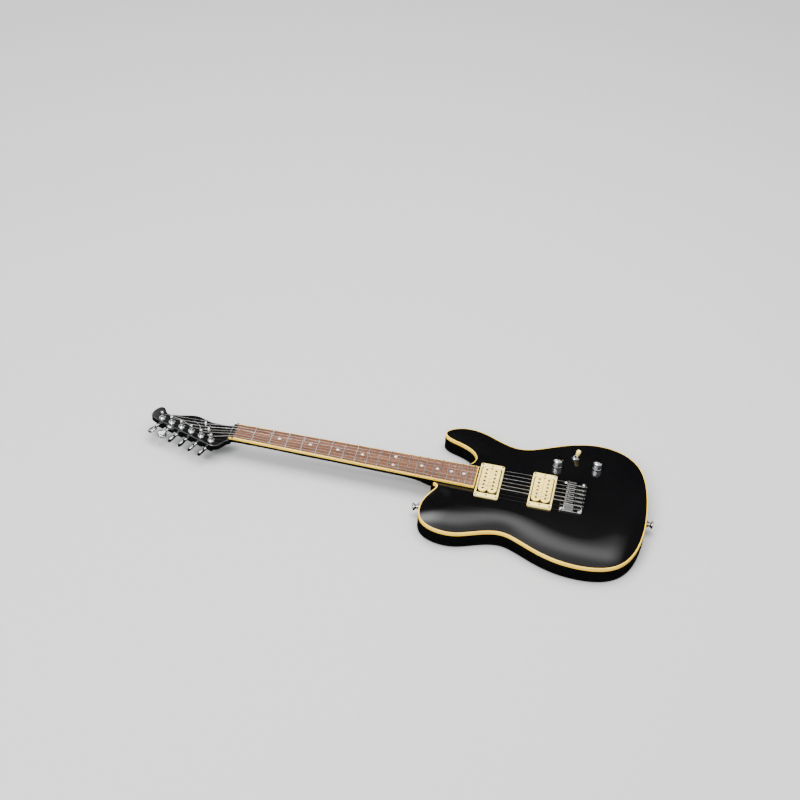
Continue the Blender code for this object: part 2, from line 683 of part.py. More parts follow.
def make_strings(finishes):
    waist, post_height, held_down = 2.5, 51.0, 49.0
    for number in range(1, 7):
        radius = STRING_RADII[number - 1]
        x, y = post_centre(number)
        start = Vector((x, y + waist + 0.4 + radius, post_height))
        at_nut = Vector((-NUT_LENGTH, nut_y(number), string_height(number, NUT_TOP)))
        points = [start]
        if number <= 4:
            tree_x = -63.5 if number <= 2 else -52.8
            share = (tree_x - start.x) / (at_nut.x - start.x)
            points.append(Vector((tree_x, start.y + share * (at_nut.y - start.y), held_down)))
        points.append(at_nut)
        points.append(at_nut + Vector((NUT_LENGTH, 0, 0)))
        across, height = saddle_y(number), string_height(number, SADDLE_TOP)
        hole = STRING_HOLE[0]
        points += [(SCALE_LENGTH - 2, across, height), (SCALE_LENGTH + 2.2, across, height),
                   (hole - 0.6, across, 48), (hole, across, 44), (hole, across, 4.5)]
        make_object(f"string_{number}", sweep(points, radius), finishes["string_steel"])


def make_bridge(finishes):
    """A flat plate with a turned-up back edge, and six saddles that slide on it."""
    plate_top, front, back = 47.0, 638.0, 681.0
    plate = box((front, -41, PLATEAU + GAP), (back, 41, plate_top))
    wall = box((back - 2.2, -33.5, 46), (back, 33.5, 53.5))
    holes = []
    for number in range(1, 7):
        place = (STRING_HOLE[0], saddle_y(number))
        holes.append(rod(STRING_HOLE[1], (*place, 40), (*place, 48), 8))
    made = combine(plate, joins=[wall], cuts=holes)
    make_object("bridge_plate", made, finishes["chrome"])
    for number in range(1, 7):
        y = saddle_y(number)
        block = box((645, y - 5.05, plate_top + GAP), (664, y + 5.05, SADDLE_TOP))
        slot = box((SCALE_LENGTH + 0.7, y - 1.7, 40), (661.5, y + 1.7, 60))
        make_object(f"saddle_{number}", combine(block, cuts=[slot]), finishes["chrome"],
                    pivot=(SCALE_LENGTH, y, plate_top))


# ---------------------------------------------------------------- pickups and controls

def make_pickups(finishes):
    for name, (x, ring_top, bobbin_top) in PICKUPS.items():
        frame = prism(rounded_rectangle((x, 0), (46, 90.5), 3), PLATEAU + GAP, ring_top)
        opening = prism(rounded_rectangle((x, 0), (39.5, 71), 1.5, 2), 40, 60)
        make_object(f"pickup_ring_{name}", combine(frame, cuts=[opening]),
                    finishes["cream_plastic"])
        coils = prism(rounded_rectangle((x, 0), (36.5, 66), 4), 28, bobbin_top - 2.5)
        bobbins = [prism(rounded_rectangle((x + side * 9.3, 0), (18.2, 68), 9.0, 5),
                         30, bobbin_top) for side in (-1, 1)]
        make_object(f"pickup_{name}", combine(coils, joins=bobbins), finishes["cream_plastic"])


def make_knobs(finishes):
    knob = [(0, 31.0), (3.0, 31.0), (3.0, 48.7), (7.2, 48.7), (7.2, 45.2), (9.6, 45.2),
            (9.6, 57.5), (9.1, 60.0), (7.4, 61.6), (4.0, 62.4), (0, 62.6)]
    pot = [(0, 27.0), (12.2, 27.0), (12.2, 37.5), (4.0, 37.5), (4.0, PLATEAU + GAP),
           (6.2, PLATEAU + GAP), (6.2, 46.9), (4.0, 46.9), (4.0, 48.0), (3.4, 48.0),
           (3.4, 29.0), (0, 29.0)]
    for name, (x, y) in KNOBS.items():
        make_object(f"knob_{name}", turned(knob, 20, (x, y, 0)), finishes["chrome"],
                    pivot=(x, y, 45.2))
        make_object(f"pot_{name}", turned(pot, 12, (x, y, 0)), finishes["steel"])


def make_switch(finishes):
    """A three-way lever switch: its frame, collar and nut, and the lever with its tip."""
    x, y, pivot = SWITCH
    case = box((x - 6, y - 11, 14), (x + 6, y + 11, CAVITY_TOP - GAP))
    collar = rod(5.7, (x, y, 30), (x, y, 46.8), 14)
    nut = rod(8.0, (x, y, PLATEAU + GAP), (x, y, 46.8), 14)
    bore = rod(4.3, (x, y, 35.5), (x, y, 60), 14)
    made = combine(case, joins=[collar, nut], cuts=[bore])
    make_object("switch_body", made, finishes["chrome"])
    lever = [(0, -3.2), (1.8, -3.0), (1.8, 9.4), (3.0, 10.2), (4.2, 14.5), (4.5, 18.5),
             (3.8, 22.0), (2.2, 23.8), (0, 24.3)]
    lean = math.radians(SWITCH_LEAN)
    towards = (math.sin(lean), 0, math.cos(lean))
    made = turned(lever, 12, (x, y, pivot), towards)
    make_object("switch_lever", made, finishes["cream_plastic"], pivot=(x, y, pivot))


def make_jack(finishes):
    x, y, z = JACK
    plate = ring_round(12.0, 5.2, GAP, GAP + 1.8, 20, (x, y, z), (0, 1, 0))
    make_object("jack_plate", plate, finishes["chrome"])
    profile = [(0, -22), (8.8, -22), (8.8, -1.6), (4.8, -1.6), (4.8, 2.4), (6.3, 2.4),
               (6.3, 4.4), (3.3, 4.4), (3.3, -19), (0, -19)]
    make_object("jack_socket", turned(profile, 14, (x, y, z), (0, 1, 0)), finishes["steel"])


def build():
    clear_scene()
    finishes = {
        "black_gloss": material("black_gloss", (0.008, 0.008, 0.009), 0.12),
        "black_plastic": material("black_plastic", (0.012, 0.012, 0.012), 0.35),
        "cream_binding": material("cream_binding", (0.80, 0.62, 0.27), 0.3),
        "cream_plastic": material("cream_plastic", (0.86, 0.76, 0.56), 0.35),
        "rosewood": material("rosewood", (0.16, 0.075, 0.05), 0.5),
        "chrome": material("chrome", (0.75, 0.75, 0.76), 0.12, 1.0),
        "steel": material("steel", (0.55, 0.55, 0.54), 0.35, 1.0),
        "string_steel": material("string_steel", (0.7, 0.69, 0.66), 0.3, 1.0),
    }
    for make in (make_body, make_body_binding, make_control_cover, make_neck_plate,
                 make_strap_buttons, make_neck, make_fingerboard, make_tuners,
                 make_string_trees, make_strings, make_bridge, make_pickups, make_knobs,
                 make_switch, make_jack):
        make(finishes)


build()
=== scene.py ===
"""Fine shapes and finishes of an electric guitar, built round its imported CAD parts.

Lengths are in millimetres, with X measured from the nut as a guitar maker gives it, and
piece() turns them into the frame's metres. The guitar lies on its back: +X runs from the
headstock to the end of the body, +Y to the treble side, and +Z out of the top. The
studio and the camera are in the frame's metres from the start.
"""
import math

import bmesh
import bpy
import numpy as np
from mathutils import Matrix, Vector, geometry


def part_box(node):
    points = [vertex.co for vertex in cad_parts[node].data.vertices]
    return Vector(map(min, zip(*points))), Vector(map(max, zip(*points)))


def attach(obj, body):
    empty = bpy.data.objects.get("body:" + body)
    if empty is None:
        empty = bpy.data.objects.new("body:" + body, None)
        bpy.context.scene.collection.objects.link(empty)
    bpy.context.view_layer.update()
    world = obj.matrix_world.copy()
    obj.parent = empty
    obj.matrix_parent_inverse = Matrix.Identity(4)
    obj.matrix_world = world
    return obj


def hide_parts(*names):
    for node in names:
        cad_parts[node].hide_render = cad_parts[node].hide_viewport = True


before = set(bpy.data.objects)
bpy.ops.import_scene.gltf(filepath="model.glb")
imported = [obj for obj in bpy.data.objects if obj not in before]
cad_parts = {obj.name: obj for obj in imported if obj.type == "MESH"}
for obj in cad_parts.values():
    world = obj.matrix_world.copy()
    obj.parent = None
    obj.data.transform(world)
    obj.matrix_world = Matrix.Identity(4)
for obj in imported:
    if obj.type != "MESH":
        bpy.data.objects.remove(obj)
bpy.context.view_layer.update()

MM = 0.001
BODY_MIDDLE = 591.5          # nut to the middle of the body, where the frame has its origin
HAIRLINE = 0.05              # gap left between pieces that look joined
SAME_PLACE = 0.0005          # points closer than this are one point
UNDER, OVER = -1, 60         # levels below and above the whole body, for cuts through it
CORNERS = [(-1, -1), (-1, 1), (1, -1), (1, 1)]
UP, DOWN = Vector((0, 0, 1)), Vector((0, 0, -1))

SCALE_LENGTH = 648
FRETS = 22
NUT_WIDTH = 42
LAST_FRET_WIDTH = 56
BOARD_START = -8.5
BOARD_END = 474
BOARD_TOP = 52.5
BOARD_BOTTOM = 46.8
BOARD_RADIUS = 350
BOARD_BINDING = 1.6
BOARD_SHOULDER = 51          # the board is lower behind the nut
NUT_SEAT = 49
NUT_LENGTH = 3.3
NUT_TOP = 53.4
SHELF_END = -NUT_LENGTH - HAIRLINE
FRET_HEIGHT = 1
FRET_WIDTH = 2.2

NECK_TOP = BOARD_BOTTOM - HAIRLINE
HEEL_BOTTOM = 27.4
HEEL_END = 470
HEAD_FACE = 43.5
HEAD_BACK = 31.3
HEAD_EDGE = 1.8              # radius of the headstock's rounded edges

POCKET_FLOOR = 27.1
PLATEAU = 44.5
RIM = 37.5
CARVE_WIDTH = 60
CARVE_GRID = 4.5             # spacing of the carved top's points
NECK_FLAT = (391, 470, 30)   # beside the neck the top stays level: from, to, half width
PICKUP_FLAT = (476, 685, 47)
BINDING_HEIGHT = 7
BINDING_THICKNESS = 2.3
BACK_ROUND = 3.5

BRIDGE_FRONT = 638
BRIDGE_BACK = 681
BRIDGE_TOP = 47
SADDLE_FRONT = 645
SADDLE_BACK = 664
SADDLE_TOP = 56.5
SADDLE_PITCH = 10.5
SADDLE_SCREWS = (647.5, 3.45)   # from the nut, and to each side of the string
INTONATION_LEVEL = 51.4
STRINGS = range(1, 7)        # string 1 is the treble one, at +Y
NUT_PITCH = 7
STRING_RADII = (0.13, 0.17, 0.22, 0.33, 0.46, 0.58)
PLAIN_STRINGS = 3
STRING_HOLE = 656
STRING_HOLE_RADIUS = 2.2
STRING_BEND = 1.2            # how far from a corner a string starts to bend

POST_FIRST = Vector((-151.2, 6))
POST_STEP = Vector((22, -7.2))
POST_WAIST = 2.5
STRING_ON_POST = 51          # height at which a string leaves its post
BUTTON_ANGLES = (-30, 20, -62, -68, -56, -64)
BUTTON_AXIS = (-6.6, 0, HEAD_BACK - 5.3)   # beside the post, and its height
TUNER_TURN = math.radians(-21)   # square to the headstock's edge
TREES = {"treble": (-63.5, 10.4), "middle": (-52.8, -4.7)}
TREE_OVER = {1: "treble", 2: "treble", 3: "middle", 4: "middle"}
UNDER_TREE = 49.4            # height at which a string passes under its tree

# The middle of each pickup, and the tops of its ring and its bobbins.
PICKUPS = {"neck": (499.3, 47.5, 50.5), "bridge": (600.8, 49, 52)}
RING_SCREWS = (19.2, 41.6)   # each side of the pickup's middle, along and across
COIL_OFFSET = 8.95
POLE_PITCH = 10
KNOBS = {"volume": (618.7, 79), "tone": (694.2, 92.5)}
SWITCH = Vector((650, 110, 41))
SWITCH_LEAN = math.radians(12)
NECK_PLATE_CENTRE = (430, 0)
NECK_SCREW_OFFSET = (25.4, 19)
CAVITY_TOP = 38
COVER_LEDGE = 6              # how far the cover's seat goes past the cavity
JACK = (693, 162, 16)

# Control points of the body's outline, anticlockwise from the heel under the neck.
BODY_OUTLINE = [
    (391, 12), (391, -12), (391.2, -24), (393, -31), (400.5, -31.6), (405.8, -36.5), (401, -46),
    (392, -57.5), (385, -72), (382, -89), (382.8, -108), (391, -127.5), (409, -140.5),
    (436.5, -147), (464.3, -144.5), (490.3, -133.6), (516.4, -123), (540.7, -118.2), (562, -124),
    (590.6, -138.7), (620, -153), (655, -163.8), (692, -167.6), (727, -164.6), (753, -155.6),
    (773.5, -139.5), (788.5, -114.5), (797.5, -84), (802.5, -48), (803.4, -12), (801, 31.6),
    (793.5, 79), (784.5, 106.5), (770, 132), (745.5, 152.3), (712, 163.4), (673.9, 163.5),
    (633, 151.3), (596, 133), (566, 117.6), (540, 111.4), (512, 118.6), (483.8, 132.4),
    (460, 141.8), (438.5, 144.6), (420, 142.5), (405.5, 136.5), (394, 128), (390.5, 119),
    (395, 110.5), (407, 102.8), (427.4, 96.6), (446.5, 87.6), (458.8, 76.5), (464.5, 62),
    (461.5, 46.5), (453, 35.5), (441, 30.2), (425, 28), (405, 27.4), (393, 26),
]
BINDING_FROM = 2.5           # control spans where the binding starts and ends
BINDING_TO = 54.5

# Control points of the headstock's outline, from the nut round by the tuners' side.
HEAD_OUTLINE = [
    (-4, -21), (-12, -21.5), (-18, -31), (-24.5, -41.2), (-34, -44.9), (-46, -42.8), (-78, -31),
    (-112, -18.6), (-147, -6), (-166.5, 1.2), (-174, 6.4), (-175.8, 14.5), (-173.8, 24),
    (-169, 32.6), (-161.5, 38.3), (-154.3, 35.6), (-149, 24.8), (-144, 19.5), (-134, 20.5),
    (-120, 22.5), (-104, 27.8), (-86.5, 31.3), (-70, 25), (-58, 20), (-40, 19), (-20, 20),
    (-4, 21),
]

# Control points of the cavity in the back that holds the pots, the switch and the jack.
CAVITY_OUTLINE = [
    (600, 61), (640, 59), (690, 61), (722, 69), (730, 95), (724, 121), (700, 135), (668, 133),
    (638, 127), (610, 113), (597, 92),
]


# ---- solids

def mesh_from(bm):
    mesh = bpy.data.meshes.new("solid")
    bm.to_mesh(mesh)
    bm.free()
    return mesh


def as_mesh(bm):
    """Turn the faces outwards and return a mesh, still in millimetres."""
    bmesh.ops.recalc_face_normals(bm, faces=bm.faces)
    return mesh_from(bm)


def placed(name, data):
    """Put a new object into the scene."""
    made = bpy.data.objects.new(name, data)
    bpy.context.collection.objects.link(made)
    return made


def join_rings(bm, first, second):
    for index in range(len(first)):
        after = (index + 1) % len(first)
        bm.faces.new((first[index], first[after], second[after], second[index]))


def loft(rings):
    """Skin equal rings of points and close both ends."""
    bm = bmesh.new()
    loops = [[bm.verts.new(point) for point in ring] for ring in rings]
    for first, second in zip(loops, loops[1:]):
        join_rings(bm, first, second)
    bm.faces.new(loops[0])
    bm.faces.new(loops[-1])
    return as_mesh(bm)


def prism(outline, bottom, top):
    return loft([[(x, y, z) for x, y in outline] for z in (bottom, top)])


def box(low, high):
    corners = [(low[0], low[1]), (high[0], low[1]), (high[0], high[1]), (low[0], high[1])]
    return prism(corners, low[2], high[2])


def round_turns(sides):
    return [2 * math.pi * side / sides for side in range(sides)]


def turn_towards(direction):
    return UP.rotation_difference(Vector(direction)).to_matrix().to_4x4()


def turned(profile, sides=32, foot=(0, 0, 0), towards=UP, ripple=None):
    """Turn a profile of (radius, height), from one pole to the other, about an axis.

    ripple(angle, height) scales the radius, for knurls and flats.
    """
    bm = bmesh.new()
    start = bm.verts.new((0, 0, profile[0][1]))
    end = bm.verts.new((0, 0, profile[-1][1]))
    rings = []
    for radius, height in profile[1:-1]:
        ring = []
        for turn in round_turns(sides):
            x, y = math.cos(turn), math.sin(turn)
            reach = radius * (ripple(math.atan2(y, x), height) if ripple else 1)
            ring.append(bm.verts.new((reach * x, reach * y, height)))
        rings.append(ring)
    for index in range(sides):
        after = (index + 1) % sides
        bm.faces.new((start, rings[0][index], rings[0][after]))
        bm.faces.new((end, rings[-1][after], rings[-1][index]))
    for first, second in zip(rings, rings[1:]):
        join_rings(bm, first, second)
    bm.transform(Matrix.Translation(foot) @ turn_towards(towards))
    return as_mesh(bm)


def rod(radius, start, end, sides=24):
    """A plain round rod between two points."""
    along = Vector(end) - Vector(start)
    return turned([(0, 0), (radius, 0), (radius, along.length), (0, along.length)],
                  sides, start, along)


def upright(radius, place, low, high, sides=24):
    """A plain round rod that stands at a place, between two levels."""
    return rod(radius, (*place, low), (*place, high), sides)


def bend(before, corner, after, reach, steps):
    """Points that round a corner, from a distance before it to the same after it."""
    first = corner + (before - corner).normalized() * reach
    last = corner + (after - corner).normalized() * reach
    return [first * (1 - t) ** 2 + corner * 2 * t * (1 - t) + last * t * t
            for t in (step / steps for step in range(steps + 1))]


def rounded(corners, radius):
    """Round the corners of a (radius, height) profile, except its two poles."""
    corners = [Vector(corner) for corner in corners]
    points = [corners[0]]
    for before, corner, after in zip(corners, corners[1:], corners[2:]):
        reach = min(radius, (before - corner).length / 2, (after - corner).length / 2)
        for point in bend(before, corner, after, reach, 4):
            if (point - points[-1]).length > SAME_PLACE:
                points.append(point)
    points.append(corners[-1])
    return points


def quarter_round(radius, steps):
    """How far in and how far up the points of a rounded edge lie."""
    turns = [math.pi / 2 * step / steps for step in range(steps + 1)]
    return [(radius * (1 - math.sin(turn)), radius * (1 - math.cos(turn))) for turn in turns]


def sweep(points, radius, sides):
    """A round wire through points, carried along without twisting."""
    points = [Vector(point) for point in points]
    across = Vector((0.1, 1, 0.05)).normalized()
    rings = []
    for index, point in enumerate(points):
        before, after = points[max(index - 1, 0)], points[min(index + 1, len(points) - 1)]
        arriving = (point - before).normalized() if index else (after - point).normalized()
        leaving = (after - point).normalized() if after != point else arriving
        along = (arriving + leaving).normalized()
        across = (across - along * across.dot(along)).normalized()
        other = along.cross(across)
        rings.append([point + radius * (math.cos(turn) * across + math.sin(turn) * other)
                      for turn in round_turns(sides)])
    return loft(rings)


def merged(meshes):
    """Put several meshes into one without uniting them."""
    bm = bmesh.new()
    for mesh in meshes:
        bm.from_mesh(mesh)
    return mesh_from(bm)


def moved(mesh, matrix):
    mesh = mesh.copy()
    mesh.transform(matrix)
    return mesh


def cleaned(mesh):
    """Take away the slivers and doubled points that a cut leaves, and close small holes."""
    bm = bmesh.new()
    bm.from_mesh(mesh)
    bmesh.ops.remove_doubles(bm, verts=bm.verts, dist=SAME_PLACE)
    bmesh.ops.dissolve_degenerate(bm, edges=bm.edges, dist=SAME_PLACE)
    open_edges = [edge for edge in bm.edges if edge.is_boundary]
    bmesh.ops.holes_fill(bm, edges=open_edges, sides=8)
    bm.to_mesh(mesh)
    bm.free()
    return mesh


def combine(base, joins=(), cuts=()):
    """Unite and cut solids exactly, and return the result as one mesh."""
    target = placed("target", base)
    scratch = [target]
    for operation, tools in (("UNION", joins), ("DIFFERENCE", cuts)):
        for tool in tools:
            step = target.modifiers.new("step", "BOOLEAN")
            step.operation = operation
            step.solver = "EXACT"
            step.object = placed("tool", tool)
            scratch.append(step.object)
    evaluated = target.evaluated_get(bpy.context.evaluated_depsgraph_get())
    result = bpy.data.meshes.new_from_object(evaluated)
    for thing in scratch:
        bpy.data.objects.remove(thing, do_unlink=True)
    return cleaned(result)


def softened(mesh, width, segments=3):
    """Round every edge that turns through more than 35 degrees."""
    bm = bmesh.new()
    bm.from_mesh(mesh)
    bmesh.ops.dissolve_limit(bm, angle_limit=math.radians(1), verts=bm.verts, edges=bm.edges)
    sharp = [edge for edge in bm.edges
             if len(edge.link_faces) == 2 and edge.calc_face_angle() > math.radians(35)]
    bmesh.ops.bevel(bm, geom=sharp, offset=width, segments=segments, profile=0.5,
                    affect="EDGES", clamp_overlap=True)
    return mesh_from(bm)


def closed_curve(controls, per_span):
    """Points on the closed cubic B-spline of a control polygon."""
    points = []
    count = len(controls)
    for index in range(count):
        group = [controls[(index + offset) % count] for offset in range(4)]
        for step in range(per_span):
            t = step / per_span
            weights = ((1 - t) ** 3 / 6, (3 * t ** 3 - 6 * t ** 2 + 4) / 6,
                       (-3 * t ** 3 + 3 * t ** 2 + 3 * t + 1) / 6, t ** 3 / 6)
            points.append(tuple(
                sum(weight * point[axis] for weight, point in zip(weights, group))
                for axis in (0, 1)))
    return points


def inset(controls, distance):
    """Move an anticlockwise polygon's corners inwards by a distance from both edges.

    A clockwise one, such as the headstock's, takes a distance below zero.
    """
    shifted = []
    for index, corner in enumerate(controls):
        here = Vector(corner)
        arriving = (here - Vector(controls[index - 1])).normalized()
        leaving = (Vector(controls[(index + 1) % len(controls)]) - here).normalized()
        inward = (arriving + leaving).normalized().orthogonal()
        stretch = max(inward.dot(arriving.orthogonal()), 0.5)
        shifted.append(tuple(here + inward * distance / stretch))
    return shifted


def rounded_rectangle(centre, size, radius, steps=8):
    points = []
    for quarter in range(4):
        sign_x = 1 if quarter in (0, 3) else -1
        sign_y = 1 if quarter in (0, 1) else -1
        corner_x = centre[0] + sign_x * (size[0] / 2 - radius)
        corner_y = centre[1] + sign_y * (size[1] / 2 - radius)
        for step in range(steps + 1):
            turn = math.pi / 2 * (quarter + step / steps)
            points.append((corner_x + radius * math.cos(turn), corner_y + radius * math.sin(turn)))
    return points


def stacked(centre, levels, radius):
    """Rounded rectangles of (length, width, height), skinned from first to last."""
    return loft([[(*point, height) for point in rounded_rectangle(centre, (long, wide), radius)]
                 for long, wide, height in levels])


def slotted_head(foot, towards, radius, rise, cross=True, turn=0):
    """A domed screw head with a slot or a cross in it, standing on its foot."""
    profile = [(0, -1), (radius, -1), (radius, 0.15 * rise), (0.86 * radius, 0.6 * rise),
               (0.5 * radius, 0.93 * rise), (0, rise)]
    head = turned(profile, 28)
    width, depth = 0.13 * radius, 0.5 * rise
    reach = 0.62 * radius if cross else 1.2 * radius
    slots = [box((-reach, -width, rise - depth), (reach, width, rise + 1))]
    if cross:
        slots.append(box((-width, -reach, rise - depth), (width, reach, rise + 1)))
    head = combine(head, cuts=slots)
    matrix = Matrix.Translation(foot) @ turn_towards(towards) @ Matrix.Rotation(turn, 4, "Z")
    return moved(head, matrix)


# ---- finishes

class Finish:
    """A node material, built with short calls."""

    def __init__(self, name):
        self.material = bpy.data.materials.new(name)
        self.material.use_nodes = True
        self.tree = self.material.node_tree
        self.shader = self.tree.nodes["Principled BSDF"]
        self.place = self.tree.nodes.new("ShaderNodeTexCoord").outputs["Object"]

    def add(self, kind, **inputs):
        return self.set(self.tree.nodes.new("ShaderNode" + kind), inputs)

    def set(self, node, inputs):
        for name, value in inputs.items():
            self.join(value, node.inputs[name.replace("_", " ")])
        return node

    def join(self, value, socket):
        if isinstance(value, bpy.types.NodeSocket):
            self.tree.links.new(value, socket)
        else:
            socket.default_value = value

    def noise(self, scale, detail, roughness=0.55, distortion=0):
        """Clouds of one scale, or streaks where each axis has a scale of its own."""
        place = self.place
        if isinstance(scale, tuple):
            place = self.add("Mapping", Vector=place, Scale=scale).outputs["Vector"]
            scale = 1
        return self.add("TexNoise", Vector=place, Scale=scale, Detail=detail,
                        Roughness=roughness, Distortion=distortion).outputs["Fac"]

    def ramp(self, fac, stops):
        made = self.add("ValToRGB", Fac=fac)
        ramp = made.color_ramp
        while len(ramp.elements) < len(stops):
            ramp.elements.new(0.5)
        for element, (position, colour) in zip(ramp.elements, stops):
            element.position = position
            element.color = (*colour, 1)
        return made.outputs["Color"]

    def between(self, fac, low, high):
        """Map 0..1 to a range."""
        return self.add("MapRange", Value=fac, To_Min=low, To_Max=high).outputs["Result"]

    def grey(self, fac, start, end):
        """Stretch part of a texture's range to 0..1."""
        return self.add("MapRange", Value=fac, From_Min=start, From_Max=end).outputs["Result"]

    def mix(self, fac, first, second):
        made = self.tree.nodes.new("ShaderNodeMix")
        made.data_type = "RGBA"
        self.join(fac, made.inputs[0])
        self.join(first, made.inputs[6])
        self.join(second, made.inputs[7])
        return made.outputs[2]

    def bump(self, height, strength, distance, normal=None):
        made = self.add("Bump", Height=height, Strength=strength, Distance=distance)
        if normal:
            self.join(normal, made.inputs["Normal"])
        return made.outputs["Normal"]

    def finish(self, **inputs):
        self.set(self.shader, inputs)
        return self.material


def rgb(red, green, blue):
    return (red, green, blue, 1)


def black_lacquer(name, mirror, coat):
    """Deep black under clear lacquer, with haze, fine dust and a little orange peel."""
    f = Finish(name)
    haze = f.noise(9, 4)
    dust = f.grey(f.noise(1400, 2, 0.7), 0.66, 0.8)
    colour = f.mix(haze, rgb(0.0012, 0.0012, 0.0014), rgb(0.003, 0.003, 0.0033))
    colour = f.mix(f.between(dust, 0, 0.1), colour, rgb(0.35, 0.34, 0.32))
    peel = f.bump(f.noise(180, 2), 0.04, 0.0004)
    return f.finish(Base_Color=colour, Roughness=f.between(haze, 0.07, 0.17), Normal=peel,
                    Specular_IOR_Level=mirror, Coat_Weight=coat, Coat_Roughness=0.04)


def cream_binding():
    """Aged celluloid binding: yellowed cream, warmer in patches, under thin lacquer."""
    f = Finish("cream_binding")
    patches = f.noise(35, 4)
    fine = f.noise(700, 3)
    colour = f.ramp(patches, [(0.3, (0.84, 0.49, 0.02)), (0.55, (0.94, 0.59, 0.036)),
                              (0.75, (0.99, 0.67, 0.07))])
    colour = f.mix(f.between(fine, 0, 0.15), colour, rgb(0.65, 0.41, 0.1))
    return f.finish(Base_Color=colour, Roughness=f.between(fine, 0.22, 0.42),
                    Normal=f.bump(fine, 0.15, 0.0003), Subsurface_Weight=0.08,
                    Subsurface_Radius=(0.004, 0.0025, 0.001), Coat_Weight=0.4,
                    Coat_Roughness=0.08)


def cream_plastic(name, warmth):
    """Moulded ivory plastic, slightly mottled, with fine wear in its gloss."""
    f = Finish(name)
    patches = f.noise(60, 4)
    scratches = f.noise((300, 2600, 900), 4, 0.7)
    colour = f.ramp(patches, [(0.3, (0.94, 0.7 - warmth, 0.17 - warmth)),
                              (0.55, (0.97, 0.77 - warmth, 0.23 - warmth)),
                              (0.78, (0.99, 0.82 - warmth, 0.3 - warmth))])
    return f.finish(Base_Color=colour, Roughness=f.between(scratches, 0.24, 0.48),
                    Normal=f.bump(scratches, 0.1, 0.0002), Subsurface_Weight=0.1,
                    Subsurface_Radius=(0.004, 0.003, 0.0015))


def rosewood():
    """Oiled rosewood: dark and pale streaks along the grain, with open pores."""
    f = Finish("rosewood")
    broad = f.noise((7, 260, 130), 5, 0.6, 0.6)
    fine = f.noise((26, 1500, 700), 6, 0.7, 0.3)
    pores = f.grey(f.noise((190, 4200, 2000), 3, 0.6), 0.6, 0.7)
    colour = f.ramp(broad, [(0.3, (0.05, 0.021, 0.012)), (0.46, (0.115, 0.047, 0.025)),
                            (0.58, (0.185, 0.077, 0.04)), (0.74, (0.3, 0.138, 0.074))])
    colour = f.mix(f.between(fine, 0, 0.55), colour, rgb(0.065, 0.028, 0.018))
    colour = f.mix(f.between(pores, 0, 0.75), colour, rgb(0.02, 0.009, 0.006))
    relief = f.bump(fine, 0.18, 0.0003)
    relief = f.bump(f.between(pores, 1, 0), 0.35, 0.0004, relief)
    return f.finish(Base_Color=colour, Roughness=f.between(fine, 0.38, 0.6), Normal=relief,
                    Specular_IOR_Level=0.2)


def metal(name, light, rough, tint):
    """Plated or plain metal with smudges, fine scratches and uneven gloss."""
    f = Finish(name)
    smudges = f.noise(110, 5, 0.65)
    scratches = f.noise(900, 4, 0.75)
    dull = tuple(light * 0.8 * part for part in tint)
    bright = tuple(light * part for part in tint)
    colour = f.mix(f.grey(smudges, 0.35, 0.65), (*dull, 1), (*bright, 1))
    wear = f.mix(0.45, smudges, scratches)
    return f.finish(Base_Color=colour, Metallic=1,
                    Roughness=f.between(wear, rough * 0.55, rough * 1.5),
                    Normal=f.bump(scratches, 0.06, 0.0002))


def wound_string():
    """Round wire wound on a core, each turn raised by a bump, with a painted highlight on its ridge
    and painted shade in its groove.
    """
    f = Finish("wound_string")
    winding_bump_and_shade = f.add("TexWave", Vector=f.place, Scale=420)
    winding_bump_and_shade.bands_direction = "X"
    tarnish = f.noise(240, 4)
    # painted shade in each winding's groove and a painted highlight on its ridge, in the base
    # colour
    colour = f.mix(winding_bump_and_shade.outputs["Fac"], rgb(0.34, 0.31, 0.27), rgb(0.86, 0.83, 0.77))
    colour = f.mix(f.between(tarnish, 0, 0.35), colour, rgb(0.4, 0.34, 0.26))
    return f.finish(Base_Color=colour, Metallic=1, Roughness=f.between(tarnish, 0.3, 0.46),
                    Normal=f.bump(winding_bump_and_shade.outputs["Fac"], 0.8, 0.0002))


def black_plastic(name, shade, rough):
    """Black moulded plastic with a faint grain."""
    f = Finish(name)
    grain = f.noise(1600, 3)
    patches = f.noise(70, 3)
    colour = f.mix(patches, rgb(shade * 0.6, shade * 0.6, shade * 0.62),
                   rgb(shade * 1.5, shade * 1.5, shade * 1.55))
    return f.finish(Base_Color=colour, Roughness=f.between(f.mix(0.5, grain, patches), *rough),
                    Normal=f.bump(grain, 0.12, 0.0002))


def pearl():
    """Pearl dots: pale, clouded and slightly coloured."""
    f = Finish("pearl")
    cloud = f.noise(420, 5, 0.65, distortion=1.6)
    colour = f.ramp(cloud, [(0.3, (0.3, 0.33, 0.33)), (0.45, (0.68, 0.67, 0.63)),
                            (0.58, (0.86, 0.84, 0.82)), (0.72, (0.44, 0.52, 0.56))])
    return f.finish(Base_Color=colour, Roughness=f.between(cloud, 0.12, 0.3),
                    Normal=f.bump(cloud, 0.06, 0.0002), Coat_Weight=0.5, Coat_Roughness=0.05)


COOL, PLAIN, WARM = (0.98, 0.99, 1), (1, 0.99, 0.97), (1, 0.97, 0.93)

